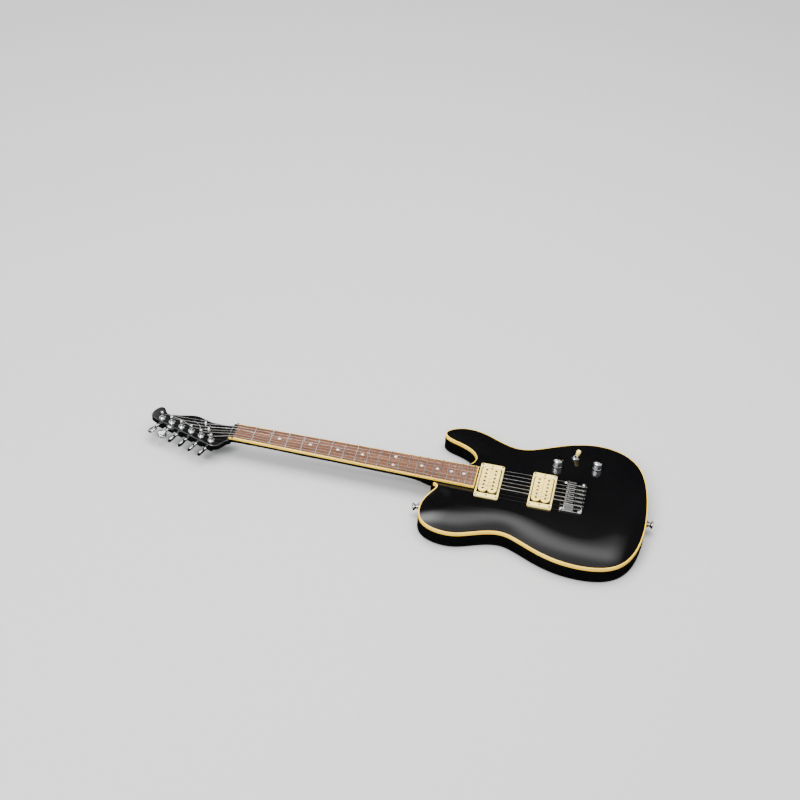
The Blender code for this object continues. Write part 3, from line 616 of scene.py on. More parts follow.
# Each slot of the part's record, with the materials that belong to it.
SLOTS = {
    "black_lacquer": [black_lacquer("black_lacquer", 0.25, 0.6),
                      black_lacquer("neck_lacquer", 0.5, 1)],
    "cream_binding": [cream_binding()],
    "cream_plastic": [cream_plastic("cream_plastic", 0), cream_plastic("bobbin_cream", 0.06),
                      pearl()],
    "switch_tip": [cream_plastic("switch_tip", 0.03)],
    "rosewood": [rosewood()],
    "black_plastic": [black_plastic("black_plastic", 0.016, (0.22, 0.42)),
                      black_plastic("coil_tape", 0.01, (0.45, 0.65)),
                      black_plastic("nut_black", 0.02, (0.14, 0.28))],
    "chrome": [metal("chrome", 0.84, 0.09, COOL)],
    "saddle_chrome": [metal("saddle_chrome", 0.6, 0.06, PLAIN)],
    "steel": [metal("nickel", 0.8, 0.24, WARM), metal("steel", 0.58, 0.32, PLAIN),
              # the pole pieces' steel is kept nearly black: painted shade of their wells and
              # painted dark reflection, on top of the steel's own dull tone
              metal("ring_screw", 0.36, 0.2, WARM), metal("pole_steel_painted_dark", 0.07, 0.34, WARM),
              metal("fret_wire", 0.92, 0.42, (1, 0.99, 0.96)),
              metal("brass", 0.72, 0.3, (1, 0.8, 0.45))],
    "string_wire": [metal("plain_string", 0.86, 0.34, (1, 0.98, 0.95)), wound_string()],
}
# Blender numbers a material whose name the CAD already has, so the number is left out.
FINISHES = {material.name.split(".")[0]: (material, slot)
            for slot in SLOTS for material in SLOTS[slot]}


def piece(name, mesh, finish, body="guitar", stands_for=(), crease=35, normals=None):
    """Make a visible piece in metres that rides a body and may stand for CAD nodes."""
    mesh = mesh.copy()
    mesh.name = name
    mesh.transform(Matrix.Scale(MM, 4) @ Matrix.Translation((-BODY_MIDDLE, 0, 0)))
    mesh.materials.clear()
    material, slot = FINISHES[finish]
    mesh.materials.append(material)
    mesh.shade_smooth()
    mesh.set_sharp_from_angle(angle=math.radians(crease))
    if normals:
        mesh.normals_split_custom_set(normals(mesh))
    made = placed(name, mesh)
    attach(made, body)
    if stands_for:
        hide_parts(*stands_for)


def part(name, mesh, finish, body="guitar", crease=35, normals=None):
    """Make a piece that stands for the CAD node of the same name."""
    piece(name, mesh, finish, body, [name], crease, normals)


def weighted(mesh):
    """Normals that keep a wide face flat and put the turn into its rounded edge."""
    total = [Vector() for _ in mesh.vertices]
    flat = [polygon.normal.copy() for polygon in mesh.polygons]
    for polygon, normal in zip(mesh.polygons, flat):
        for vertex in polygon.vertices:
            total[vertex] += normal * polygon.area
    normals = []
    limit = math.cos(math.radians(50))
    for polygon, normal in zip(mesh.polygons, flat):
        for vertex in polygon.vertices:
            blended = total[vertex].normalized()
            normals.append(blended if blended.dot(normal) > limit else normal)
    return normals


# ---- shapes shared by pieces

OUTLINE_STEPS = 8
OUTLINE = closed_curve(BODY_OUTLINE, OUTLINE_STEPS)


def fret_place(number):
    return SCALE_LENGTH * (1 - 2 ** (-number / 12))


def half_width(x):
    """Half the width of the fingerboard with its binding."""
    return (NUT_WIDTH + (LAST_FRET_WIDTH - NUT_WIDTH) * x / fret_place(FRETS)) / 2


def board_crown(y):
    return BOARD_TOP - y * y / (2 * BOARD_RADIUS)


def fade(value, start, end):
    """1 before start, 0 after end, and smooth between."""
    t = np.clip((value - start) / (end - start), 0, 1)
    return 1 - t * t * (3 - 2 * t)


def outside_box(x, y, low_x, high_x, half_y):
    over_x = np.maximum(np.maximum(low_x - x, x - high_x), 0)
    return np.hypot(over_x, np.maximum(np.abs(y) - half_y, 0))


def lift(x, y):
    """How far the carve is held up to the flat level, beside the neck and the pickups."""
    beside_neck = fade(outside_box(x, y, *NECK_FLAT), 4, 48)
    beside_pickups = fade(outside_box(x, y, *PICKUP_FLAT), 0, 26)
    return beside_neck, beside_pickups


def rim_height(x, y):
    return RIM + (PLATEAU - RIM) * lift(x, y)[0]


def edge_distance(x, y):
    """Smooth distance to the outline: exact beside a straight edge, rounded elsewhere."""
    start = np.array(OUTLINE)
    along = np.roll(start, -1, axis=0) - start
    length = np.hypot(along[:, 0], along[:, 1])
    ux, uy = along[:, 0] / length, along[:, 1] / length
    dx = start[:, 0] - x[:, None]
    dy = start[:, 1] - y[:, None]
    begin = dx * ux + dy * uy
    off = np.maximum(np.abs(dx * uy - dy * ux), 0.01)
    total = 0
    for t, sign in ((begin + length, 1), (begin, -1)):
        total = total + sign * (t / (2 * off ** 2 * (off ** 2 + t ** 2))
                                + np.arctan(t / off) / (2 * off ** 3))
    return (math.pi / 2 / np.maximum(total.sum(axis=1), 1e-12)) ** (1 / 3)


def top_height(x, y):
    """The height of the carved top, for arrays of places."""
    beside_neck, beside_pickups = lift(x, y)
    fallen = np.maximum(1 - edge_distance(x, y) / CARVE_WIDTH, 0) ** 2
    return PLATEAU - (PLATEAU - RIM) * fallen * (1 - beside_neck) * (1 - beside_pickups)


def string_y(number, pitch):
    """How far a string lies from the middle, where the strings are a pitch apart."""
    return (3.5 - number) * pitch


def saddle_y(number):
    return string_y(number, SADDLE_PITCH)


def post_centre(number):
    return POST_FIRST + (number - 1) * POST_STEP


def inside(x, y, outline):
    start = np.array(outline)
    end = np.roll(start, -1, axis=0)
    crosses = (start[:, 1] > y[:, None]) != (end[:, 1] > y[:, None])
    slope = (end[:, 0] - start[:, 0]) / (end[:, 1] - start[:, 1] + 1e-12)
    before = x[:, None] < slope * (y[:, None] - start[:, 1]) + start[:, 0]
    return (crosses & before).sum(axis=1) % 2 == 1


# ---- body

def carve_points(ledge):
    """Points of a triangular grid over the part of the top that isn't flat."""
    (first_x, first_y), (long, wide) = (378, -170), (430, 340)
    rows = int(wide / (CARVE_GRID * math.sqrt(3) / 2))
    columns = int(long / CARVE_GRID)
    row, column = np.meshgrid(np.arange(rows), np.arange(columns), indexing="ij")
    x = (first_x + (column + 0.5 * (row % 2)) * CARVE_GRID).ravel()
    y = (first_y + row * CARVE_GRID * math.sqrt(3) / 2).ravel()
    edge = np.array(ledge)
    nearest = np.hypot(x[:, None] - edge[:, 0], y[:, None] - edge[:, 1]).min(axis=1)
    keep = (nearest > 2.4) & (nearest < CARVE_WIDTH + 8) & inside(x, y, ledge)
    return list(zip(x[keep], y[keep]))


def carved_blank():
    """The body's blank: a rounded back edge, a ledge for the binding and a carved top."""
    ledge = closed_curve(inset(BODY_OUTLINE, BINDING_THICKNESS + HAIRLINE), OUTLINE_STEPS)
    foot = [rim_height(x, y) - BINDING_HEIGHT - HAIRLINE for x, y in OUTLINE]
    bm = bmesh.new()
    rings = []
    for depth, height in quarter_round(BACK_ROUND, 5):
        shape = closed_curve(inset(BODY_OUTLINE, depth), OUTLINE_STEPS)
        rings.append([bm.verts.new((x, y, height)) for x, y in shape])
    rings.append([bm.verts.new((x, y, z)) for (x, y), z in zip(OUTLINE, foot)])
    rings.append([bm.verts.new((x, y, z)) for (x, y), z in zip(ledge, foot)])
    spots = np.array(ledge + carve_points(ledge))
    heights = top_height(spots[:, 0], spots[:, 1])
    rings.append([bm.verts.new((x, y, z)) for (x, y), z in zip(ledge, heights)])
    for first, second in zip(rings, rings[1:]):
        join_rings(bm, first, second)
    bm.faces.new(rings[0])
    flat = [Vector(point) for point in spots]
    found = geometry.delaunay_2d_cdt(flat, [], [list(range(len(ledge)))], 1, 1e-4)
    corners = []
    for point, sources in zip(found[0], found[3]):
        source = sources[0]
        if source < len(ledge):
            corners.append(rings[-1][source])
        else:
            corners.append(bm.verts.new((point.x, point.y, heights[source])))
    for triangle in found[2]:
        bm.faces.new([corners[index] for index in triangle])
    return as_mesh(bm)


def neck_screw_places():
    along, across = NECK_SCREW_OFFSET
    return [(NECK_PLATE_CENTRE[0] + sx * along, NECK_PLATE_CENTRE[1] + sy * across)
            for sx, sy in CORNERS]


def body_cuts():
    start, end = 360, HEEL_END + 0.3
    wide, wide_end = half_width(start) + 0.4, half_width(HEEL_END) + 0.4
    pocket = [(start, -wide), (end, -wide_end), (end, wide_end), (start, wide)]
    cuts = [prism(pocket, POCKET_FLOOR, OVER)]
    for centre, _, _ in PICKUPS.values():
        cuts.append(prism(rounded_rectangle((centre, 0), (40, 84), 5), 23, OVER))
    cuts.append(prism(closed_curve(CAVITY_OUTLINE, 6), UNDER, CAVITY_TOP))
    cuts.append(prism(closed_curve(inset(CAVITY_OUTLINE, -COVER_LEDGE), 6), -2, 2.8))
    cuts += [upright(4.5, place, 30, OVER) for place in KNOBS.values()]
    cuts.append(upright(6.2, SWITCH.xy, 30, OVER))
    for number in STRINGS:
        place = (STRING_HOLE, saddle_y(number))
        cuts.append(upright(STRING_HOLE_RADIUS, place, UNDER, OVER, 12))
        cuts.append(upright(4.1, place, UNDER, 8, 20))
    cuts.append(prism(rounded_rectangle(NECK_PLATE_CENTRE, (64.4, 51.4), 4), UNDER, 2.3))
    x, y, z = JACK
    cuts.append(rod(12.4, (x, y, z), (x, y + 8, z), 48))
    cuts.append(rod(9.8, (x, y - 40, z), (x, y + 4, z), 24))
    return cuts


def carve_normals(mesh):
    """The carve's own slope on the top faces, and the mesh's normals elsewhere."""
    normals = np.zeros((len(mesh.loops), 3))
    loops = []
    for polygon in mesh.polygons:
        if polygon.normal.z > 0.8 and polygon.center.z > (RIM - 1) * MM:
            loops.extend(polygon.loop_indices)
    loops = np.array(loops)
    corner = np.array([mesh.vertices[mesh.loops[index].vertex_index].co for index in loops])
    x = corner[:, 0] / MM + BODY_MIDDLE
    y = corner[:, 1] / MM
    near = 0.4
    slope_x = (top_height(x + near, y) - top_height(x - near, y)) / near / 2
    slope_y = (top_height(x, y + near) - top_height(x, y - near)) / near / 2
    upward = np.stack([-slope_x, -slope_y, np.ones(len(x))], axis=1)
    normals[loops] = upward / np.linalg.norm(upward, axis=1)[:, None]
    return normals.tolist()


def make_body():
    blank = combine(carved_blank(), cuts=body_cuts())
    part("body", blank, "black_lacquer", normals=carve_normals)


def make_body_binding():
    """A strip with a rounded outer edge, let into the body's top edge."""
    section = [(0, -BINDING_HEIGHT), (0, -0.9), (0.27, -0.27), (0.9, 0),
               (BINDING_THICKNESS, 0), (BINDING_THICKNESS, -BINDING_HEIGHT)]
    curves = [closed_curve(inset(BODY_OUTLINE, depth), OUTLINE_STEPS) for depth, _ in section]
    rings = []
    for index in range(int(BINDING_FROM * OUTLINE_STEPS), int(BINDING_TO * OUTLINE_STEPS) + 1):
        top = rim_height(*OUTLINE[index])
        rings.append([(*curve[index], top + fall) for curve, (_, fall) in zip(curves, section)])
    part("body_binding", loft(rings), "cream_binding", crease=50)


def make_back():
    outline = closed_curve(inset(CAVITY_OUTLINE, 0.3 - COVER_LEDGE), 8)
    cover = softened(prism(outline, 0.1, 2.6), 0.5, 2)
    part("control_cover", cover, "black_plastic", normals=weighted)
    places = [(597, 80), (645, 56), (715, 62), (727, 112), (672, 134.5), (620, 121)]
    heads = [slotted_head((x, y, 0.55), DOWN, 2.7, 0.5, turn=0.4 * x) for x, y in places]
    piece("cover_screws", merged(heads), "steel")

    plate = prism(rounded_rectangle(NECK_PLATE_CENTRE, (64, 51), 4), 0.15, 2)
    holes = [upright(4.7, place, UNDER, 3, 32) for place in neck_screw_places()]
    part("neck_plate", combine(softened(plate, 0.5), cuts=holes), "chrome", normals=weighted)
    for index, place in enumerate(neck_screw_places(), 1):
        head = slotted_head((*place, 0.75), DOWN, 4.4, 0.6, turn=0.7 * index)
        part(f"neck_screw_{index}", merged([head, upright(2.2, place, 1.2, 38)]), "steel")

    ferrule = [(0, 1.6), (1.5, 1.6), (2.6, 0.35), (3.9, 0.15), (3.9, 7.5), (0, 7.5)]
    ferrules = [turned(ferrule, 32, (STRING_HOLE, saddle_y(number), 0)) for number in STRINGS]
    piece("string_ferrules", merged(ferrules), "nickel")


def make_strap_buttons():
    """A flared button, its felt washer and its screw, at the shoulder and at the end."""
    profile = rounded([(0, 1.2), (6.2, 1.2), (5.6, 2.2), (3.9, 4.6), (3.9, 7.2), (7.4, 10.2),
                       (7.4, 12), (6, 12.9), (0, 12.6)], 0.9)
    felt = rounded([(0, 0), (7.2, 0), (7.2, 1.3), (0, 1.3)], 0.4)
    for name in ("shoulder", "end"):
        low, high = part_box(f"strap_button_{name}")
        centre = (low + high) / 2 / MM + Vector((BODY_MIDDLE, 0, 0))
        towards = Vector((1, 0, 0) if name == "end" else (-0.955, -0.297, 0)).normalized()
        foot = centre - towards * 6.5
        part(f"strap_button_{name}", turned(profile, 48, foot, towards), "chrome")
        piece(f"strap_felt_{name}", turned(felt, 40, foot, towards), "coil_tape")
        head = slotted_head(foot + towards * 12, towards, 3.3, 0.9)
        piece(f"strap_screw_{name}", head, "steel")


# ---- neck

def bulged(value, power):
    """Raise a value's size to a power and keep its sign."""
    return math.copysign(abs(value) ** power, value)


def neck_ring(x, wide, top, bottom, squareness):
    """A section of the neck: flat on top and a rounded or squared back below."""
    points = []
    steps = 28
    for step in range(steps + 1):
        turn = math.pi * step / steps
        down = math.sin(turn) ** (2 / squareness) if 0 < step < steps else 0
        points.append((x, -wide * bulged(math.cos(turn), 2 / squareness),
                       top - (top - bottom) * down))
    return points


def blended_sections(sections):
    """Fill in sections so that the back of the neck curves smoothly from one to the next."""
    filled = []
    for first, second in zip(sections, sections[1:]):
        steps = max(1, round((second[0] - first[0]) / 6))
        for step in range(steps):
            t = step / steps
            ease = t * t * (3 - 2 * t)
            mixed = [a + (b - a) * ease for a, b in zip(first, second)]
            mixed[0] = first[0] + (second[0] - first[0]) * t
            filled.append(tuple(mixed))
    filled.append(sections[-1])
    return filled


def make_neck():
    # Each section's place from the nut, half width, top, bottom and squareness.
    sections = [(-22, 20, 42.5, 31.7, 3), (-13, 20.5, 43.4, 31, 2.8), (-9.5, 20.8, 45.6, 30.7, 2.6)]
    under_board = [(-8.5, 30.6, 2.5), (0, 30.7, 2.3), (12, 31.2, 2.2), (36, 31.4, 2.15),
                   (180, 30.4, 2.15), (324, 29.4, 2.2), (352, 29, 2.4), (370, 28.2, 3.2),
                   (382, HEEL_BOTTOM, 6), (390, HEEL_BOTTOM, 12), (HEEL_END, HEEL_BOTTOM, 14)]
    sections += [(x, half_width(x), NECK_TOP, bottom, squareness)
                 for x, bottom, squareness in under_board]
    shaft = loft([neck_ring(*section) for section in blended_sections(sections)])
    edge = quarter_round(HEAD_EDGE, 6)
    levels = [(inwards, HEAD_BACK + up) for inwards, up in edge]
    levels += [(up, HEAD_FACE - inwards) for inwards, up in edge]
    head = loft([[(x, y, height) for x, y in closed_curve(inset(HEAD_OUTLINE, -depth), 8)]
                 for depth, height in levels])
    part("neck", merged([shaft, head]), "neck_lacquer", normals=weighted)


def board_ring(x, half, top=BOARD_TOP):
    """A section of the board under its crown, or under a flat top."""
    across = [half * (1 - 2 * step / 14) for step in range(15)]
    upper = [(x, y, min(board_crown(y), top)) for y in across]
    return [(x, -half, BOARD_BOTTOM), (x, half, BOARD_BOTTOM)] + upper


def make_fret(number):
    """A crowned wire across the board, cut back at both ends."""
    x = fret_place(number)
    half = half_width(x) - 0.35
    rings = []
    steps = 16
    for step in range(steps + 1):
        y = -half + 2 * half * step / steps
        y_top = math.copysign(half - FRET_HEIGHT * 0.7, y) if step in (0, steps) else y
        ring = []
        for side in range(9):
            turn = math.pi * side / 8
            up = math.sin(turn)
            ring.append((x - FRET_WIDTH / 2 * math.cos(turn), y + (y_top - y) * up,
                         board_crown(y) + FRET_HEIGHT * up))
        ring.append((x + FRET_WIDTH / 2, y, board_crown(y) - 0.5))
        ring.append((x - FRET_WIDTH / 2, y, board_crown(y) - 0.5))
        rings.append(ring)
    return loft(rings)


def board_inner(x):
    """Half the width of the board inside its binding."""
    return half_width(x) - BOARD_BINDING - HAIRLINE


def make_fingerboard():
    """The board under its crown, and the low shelf behind the nut."""
    shelf = [board_ring(BOARD_START, board_inner(BOARD_START), BOARD_SHOULDER - 0.5),
             board_ring(BOARD_START + 0.6, board_inner(BOARD_START), BOARD_SHOULDER),
             board_ring(SHELF_END, board_inner(0), BOARD_SHOULDER)]
    piece("nut_shelf", loft(shelf), "black_lacquer")
    rings = [board_ring(SHELF_END + HAIRLINE, board_inner(0), NUT_SEAT),
             board_ring(0, board_inner(0), NUT_SEAT), board_ring(0.1, board_inner(0))]
    rings += [board_ring(x, board_inner(x)) for x in range(20, int(BOARD_END) - 10, 20)]
    rings.append(board_ring(BOARD_END - BOARD_BINDING - HAIRLINE, board_inner(BOARD_END)))
    part("fingerboard", loft(rings), "rosewood")


def make_board_binding():
    """Strips along both sides and across the end, level with the crown at the edges."""
    strips = []
    for side in (-1, 1):
        rings = []
        for x in (BOARD_START, SHELF_END - 0.1, SHELF_END, -HAIRLINE, 0,
                  *range(20, 461, 20), BOARD_END):
            edge, within = half_width(x), half_width(x) - BOARD_BINDING
            top, inner_top = board_crown(edge), board_crown(within)
            if x < 0:
                top = inner_top = BOARD_SHOULDER if x < SHELF_END else NUT_SEAT
            section = [(edge, BOARD_BOTTOM), (edge, top - 0.4), (edge - 0.35, top),
                       (within, inner_top + 0.03), (within, BOARD_BOTTOM)]
            rings.append([(x, side * y, z) for y, z in section])
        strips.append(loft(rings))
    half = half_width(BOARD_END) - BOARD_BINDING
    rings = []
    for step in range(13):
        y = half * (1 - 2 * step / 12)
        section = [(-BOARD_BINDING, BOARD_BOTTOM), (0, BOARD_BOTTOM), (0, board_crown(y) - 0.4),
                   (-0.35, board_crown(y)), (-BOARD_BINDING, board_crown(y) + 0.02)]
        rings.append([(BOARD_END + x, y, z) for x, z in section])
    strips.append(loft(rings))
    part("fingerboard_binding", merged(strips), "cream_binding")


def dot_places(spread):
    """Where the dots lie along the board, and how far to either side at the octave."""
    for number in (3, 5, 7, 9, 12, 15, 17, 19, 21):
        x = (fret_place(number - 1) + fret_place(number)) / 2
        for shift in (-spread, spread) if number == 12 else (0,):
            yield x, shift


def make_frets_and_dots():
    frets = merged([make_fret(number) for number in range(1, FRETS + 1)])
    piece("frets", frets, "fret_wire", crease=60)
    dot = [(0, -0.5), (2.8, -0.5), (2.8, 0.02), (2.6, 0.06), (0, 0.07)]
    dots = [turned(dot, 36, (x, y, board_crown(y)), (0, y / BOARD_RADIUS, 1))
            for x, y in dot_places(11.5)]
    piece("position_dots", merged(dots), "pearl")
    side_dots = []
    for middle, shift in dot_places(4):
        x = middle + shift
        side_dots.append(rod(1, (x, 0.4 - half_width(x), 49.3), (x, -0.03 - half_width(x), 49.3)))
    piece("side_dots", merged(side_dots), "black_plastic")


def string_at_nut(number):
    radius = STRING_RADII[number - 1]
    return NUT_TOP - 0.05 + radius * 0.6


def make_nut():
    low, high = (-NUT_LENGTH, NUT_SEAT + HAIRLINE), (-HAIRLINE, NUT_TOP)
    section = [low, (high[0], low[1]), (high[0], high[1] - 0.2), (high[0] - 0.3, high[1]),
               (low[0] + 1.5, high[1] - 0.1), (low[0] + 0.6, high[1] - 0.5),
               (low[0], high[1] - 1.3)]
    wide = NUT_WIDTH / 2
    rings = [[(x, y, z) for x, z in section] for y in (-wide, wide)]
    slots = []
    for number in STRINGS:
        y, level = string_y(number, NUT_PITCH), string_at_nut(number)
        slots.append(rod(STRING_RADII[number - 1] + 0.12, (-8, y, level - 0.8), (3, y, level), 12))
    part("nut", combine(softened(loft(rings), 0.25, 2), cuts=slots), "nut_black", normals=weighted)


# ---- tuners

def tuner_pieces():
    """The housing, the bushing with its washer, and the post of one tuner, in its own axes."""
    top, ear_low = HEAD_BACK - 0.1, HEAD_BACK - 1.8
    shell = softened(box((-11, -7.5, HEAD_BACK - 10.3), (6, 7.5, top)), 1.8, 4)
    ear = prism(rounded_rectangle((8, 3.6), (7.4, 7), 2.6), ear_low, top)
    ear_screw = slotted_head((8.9, 3.6, ear_low), DOWN, 2.1, 0.9)
    sleeve = rod(3.2, Vector(BUTTON_AXIS) + Vector((0, -9, 0)),
                 Vector(BUTTON_AXIS) + Vector((0, -7, 0)))
    housing = merged([shell, softened(ear, 0.4, 2), ear_screw, sleeve])
    washer = rounded([(0, HEAD_FACE), (6.6, HEAD_FACE), (6.6, 44.7), (5.6, 45.2), (4.9, 46.2),
                      (3.3, 46.2), (0, 46)], 0.45)
    post = rounded([(0, HEAD_BACK - 7), (3.1, HEAD_BACK - 7), (3.1, 48.6), (POST_WAIST, 50),
                    (POST_WAIST, 54), (3.1, 56), (3.1, 59), (1.6, 59.5), (0, 59.5)], 0.7)
    hole = rod(0.95, (0, -5, 52.2), (0, 5, 52.2), 16)
    socket = upright(1.4, (0, 0), 58.7, 61, 16)
    post = combine(turned(post, 36), cuts=[hole, socket])
    return housing, turned(washer, 40), post


def tuner_button():
    """The worm's shaft, a collar and the kidney-shaped button, about its own axis."""
    shaft = rod(1.7, (0, 2, 0), (0, -15.3, 0))
    collar = turned(rounded([(0, 0), (3.2, 0), (3.2, 1.8), (2, 2.8), (0, 2.8)], 0.5), 24,
                    (0, -9.2, 0), (0, -1, 0))
    sections = [(-12.4, 2.2, 2.2), (-13.6, 3.1, 2.8), (-15.4, 4.5, 3), (-17.2, 6.6, 3.1),
                (-19.4, 8.4, 3.1), (-22.2, 9.1, 3.1), (-25.2, 9.2, 3.1), (-27.8, 8.7, 3.1),
                (-30, 7.2, 2.9), (-31.4, 5.1, 2.5), (-32.1, 2.8, 1.8)]
    rings = [[(wide * bulged(math.cos(turn), 0.85), y, thick * bulged(math.sin(turn), 0.85))
              for turn in round_turns(28)] for y, wide, thick in sections]
    return merged([shaft, collar, loft(rings)])


def make_tuners():
    housing, bushing, post = tuner_pieces()
    button = tuner_button()
    for number in STRINGS:
        place = Matrix.Translation((*post_centre(number), 0)) @ Matrix.Rotation(TUNER_TURN, 4, "Z")
        part(f"tuner_housing_{number}", moved(housing, place), "chrome", normals=weighted)
        piece(f"tuner_bushing_{number}", moved(bushing, place), "chrome")
        part(f"tuner_post_{number}", moved(post, place), "chrome", f"post_{number}")
        roll = Matrix.Rotation(math.radians(BUTTON_ANGLES[number - 1]), 4, "Y")
        axis = Matrix.Translation(BUTTON_AXIS)
        part(f"tuner_button_{number}", moved(button, place @ axis @ roll), "chrome",
             f"button_{number}", crease=60)


def make_string_trees():
    """Two winged guides that hold pairs of strings down on the headstock."""
    for name, (x, y) in TREES.items():
        stem = turned(rounded([(0, HEAD_FACE), (2.6, HEAD_FACE), (2.6, 44.6), (1.5, 45.4),
                               (1.5, 50.4), (0, 50.4)], 0.3), 24, (x, y, 0))
        rings = []
        for step in range(17):
            share = step / 8 - 1
            middle = 50.9 - 0.9 * share ** 2
            long = 2.2 - 0.5 * share ** 4
            rings.append([(x + long * math.cos(turn), y + 6 * share, middle + 0.7 * math.sin(turn))
                          for turn in round_turns(16)])
        head = slotted_head((x, y, 51.2), UP, 1.9, 0.4)
        part(f"string_tree_{name}", merged([stem, loft(rings), head]), "chrome", crease=60)


# ---- strings and bridge

def string_at_saddle(number):
    return SADDLE_TOP + STRING_RADII[number - 1] - 0.05


def wrapped_start(number):
    """Turns of string round the post, down to where it leaves for the nut."""
    radius = STRING_RADII[number - 1]
    x, y = post_centre(number)
    reach = POST_WAIST + radius + 0.05
    turns = 2 + 0.5 * (number <= PLAIN_STRINGS)
    steps = int(turns * 20)
    points = []
    for step in range(steps + 1):
        t = step / steps
        turn = math.pi / 2 + 2 * math.pi * turns * (1 - t)
        height = STRING_ON_POST + (1 - t) * turns * radius * 2.1
        points.append(Vector((x + reach * math.cos(turn), y + reach * math.sin(turn), height)))
    return points


def make_strings():
    for number in STRINGS:
        radius = STRING_RADII[number - 1]
        start = wrapped_start(number)
        y, level = string_y(number, NUT_PITCH), string_at_nut(number)
        at_nut = Vector((-NUT_LENGTH + 0.4, y, level - 0.05))
        route = [start[-1]]
        if number in TREE_OVER:
            tree_x = TREES[TREE_OVER[number]][0]
            share = (tree_x - start[-1].x) / (at_nut.x - start[-1].x)
            tree_y = start[-1].y + share * (at_nut.y - start[-1].y)
            route.append(Vector((tree_x, tree_y, UNDER_TREE)))
        route += [at_nut, Vector((-0.4, y, level))]
        y, level = saddle_y(number), string_at_saddle(number)
        route += [Vector((x, y, z)) for x, z in (
            (SCALE_LENGTH - 1.5, level), (SCALE_LENGTH + 1.6, level - 0.03),
            (STRING_HOLE - 0.7, 48.5), (STRING_HOLE, 44), (STRING_HOLE, 5))]
        points = start[:-1]
        for before, corner, after in zip(route, route[1:], route[2:]):
            points += bend(before, corner, after, STRING_BEND, 5)
        points.append(route[-1])
        finish = "plain_string" if number <= PLAIN_STRINGS else "wound_string"
        part(f"string_{number}", sweep(points, radius, 10), finish, crease=80)
    ball_ends = [rod(1.9, (STRING_HOLE - 1.6, saddle_y(number), 4.6),
                     (STRING_HOLE + 1.6, saddle_y(number), 4.6)) for number in STRINGS]
    piece("string_balls", merged(ball_ends), "brass")


def smooth_path(route, steps):
    """Points on a smooth curve through every point of a route."""
    points = []
    last = len(route) - 1
    for index in range(last):
        a, b, c, d = [route[min(max(index + offset, 0), last)] for offset in (-1, 0, 1, 2)]
        for step in range(steps):
            t = step / steps
            points.append(0.5 * (2 * b + (c - a) * t + (2 * a - 5 * b + 4 * c - d) * t ** 2
                                 + (3 * b - a - 3 * c + d) * t ** 3))
    points.append(route[-1])
    return points


def make_string_tails():
    """The ends of two strings, left long and curled over the headstock."""
    routes = {4: [(0, 1.5, 52.2), (-1.2, 2.4, 56), (-5.5, 0.5, 58.6), (-12.1, 4, 59.6),
                  (-23, 9.3, 60), (-37.2, 13.3, 59), (-43.2, 17.2, 57)],
              5: [(0, 1.5, 52.2), (-0.8, 2.4, 56), (-5.2, 9.7, 58.2), (-12.2, 17.2, 58),
                  (-21.1, 22, 57)]}
    for number, route in routes.items():
        post = Vector((*post_centre(number), 0))
        points = smooth_path([post + Vector(point) for point in route], 8)
        piece(f"string_tail_{number}", sweep(points, STRING_RADII[number - 1] * 1.1, 8),
              "wound_string", crease=80)


def make_bridge_plate():
    """A flat plate with a turned-up back edge, held by four screws."""
    size = (BRIDGE_BACK - BRIDGE_FRONT, 82)
    outline = rounded_rectangle(((BRIDGE_FRONT + BRIDGE_BACK) / 2, 0), size, 2.5)
    plate = softened(prism(outline, 44.6, BRIDGE_TOP), 0.7)
    wall = softened(box((BRIDGE_BACK - 2.2, -33.5, 46), (BRIDGE_BACK, 33.5, 53.5)), 0.6)
    holes = [rod(1.3, (BRIDGE_BACK - 5, saddle_y(number), INTONATION_LEVEL),
                 (BRIDGE_BACK + 5, saddle_y(number), INTONATION_LEVEL), 20) for number in STRINGS]
    holes += [upright(STRING_HOLE_RADIUS, (STRING_HOLE, saddle_y(number)), 40, 50, 20)
              for number in STRINGS]
    part("bridge_plate", combine(plate, joins=[wall], cuts=holes), "saddle_chrome",
         normals=weighted)
    corners = [(642, -35), (642, 35), (676, -37), (676, 37)]
    heads = [slotted_head((x, y, BRIDGE_TOP), UP, 3.1, 1.2, turn=0.3 * y) for x, y in corners]
    piece("bridge_screws", merged(heads), "nickel")


def make_saddle(number):
    """A block with a slot and a groove for its string, and its two height screws."""
    y, level = saddle_y(number), string_at_saddle(number)
    body = f"saddle_block_{number}"
    block = box((SADDLE_FRONT, y - 5.05, BRIDGE_TOP + 0.1), (SADDLE_BACK, y + 5.05, SADDLE_TOP))
    slot = softened(box((SCALE_LENGTH - 1.1, y - 1.7, 40), (661.5, y + 1.7, OVER)), 0.5)
    groove = rod(STRING_RADII[number - 1] + 0.1, (640, y, level), (652, y, level), 12)
    along, across = SADDLE_SCREWS
    places = [(along, y + side * across) for side in (-1, 1)]
    sockets = [upright(1.35, place, 54, OVER) for place in places]
    part(f"saddle_{number}", combine(softened(block, 0.9, 4), cuts=[slot, groove] + sockets),
         "saddle_chrome", body, normals=weighted)
    keys = []
    for place in places:
        foot = (*place, 0)
        screw = turned([(0, 50), (1.25, 50), (1.25, 55.7), (1.1, 55.9), (0, 55.9)], 20, foot)
        key = turned([(0, 54.6), (0.62, 54.6), (0.62, 57), (0, 57)], 6, foot)
        keys.append(combine(screw, cuts=[key]))
    piece(f"saddle_height_screws_{number}", merged(keys), "steel", body)


def intonation_screw(number):
    """A screw from the plate's wall into a saddle, with the spring that pushes on it."""
    y, level = saddle_y(number), INTONATION_LEVEL
    head = slotted_head((BRIDGE_BACK + 0.1, y, level), (1, 0, 0), 2.3, 1.5, turn=0.5 * number)
    thread = rod(1.15, (660, y, level), (BRIDGE_BACK, y, level), 16)
    coil = []
    turns, sides = 6, 14
    for step in range(turns * sides + 1):
        turn = 2 * math.pi * step / sides
        coil.append((665.5 + 13.1 * step / (turns * sides), y + 1.75 * math.cos(turn),
                     level + 1.75 * math.sin(turn)))
    return [head, thread, sweep(coil, 0.3, 6)]


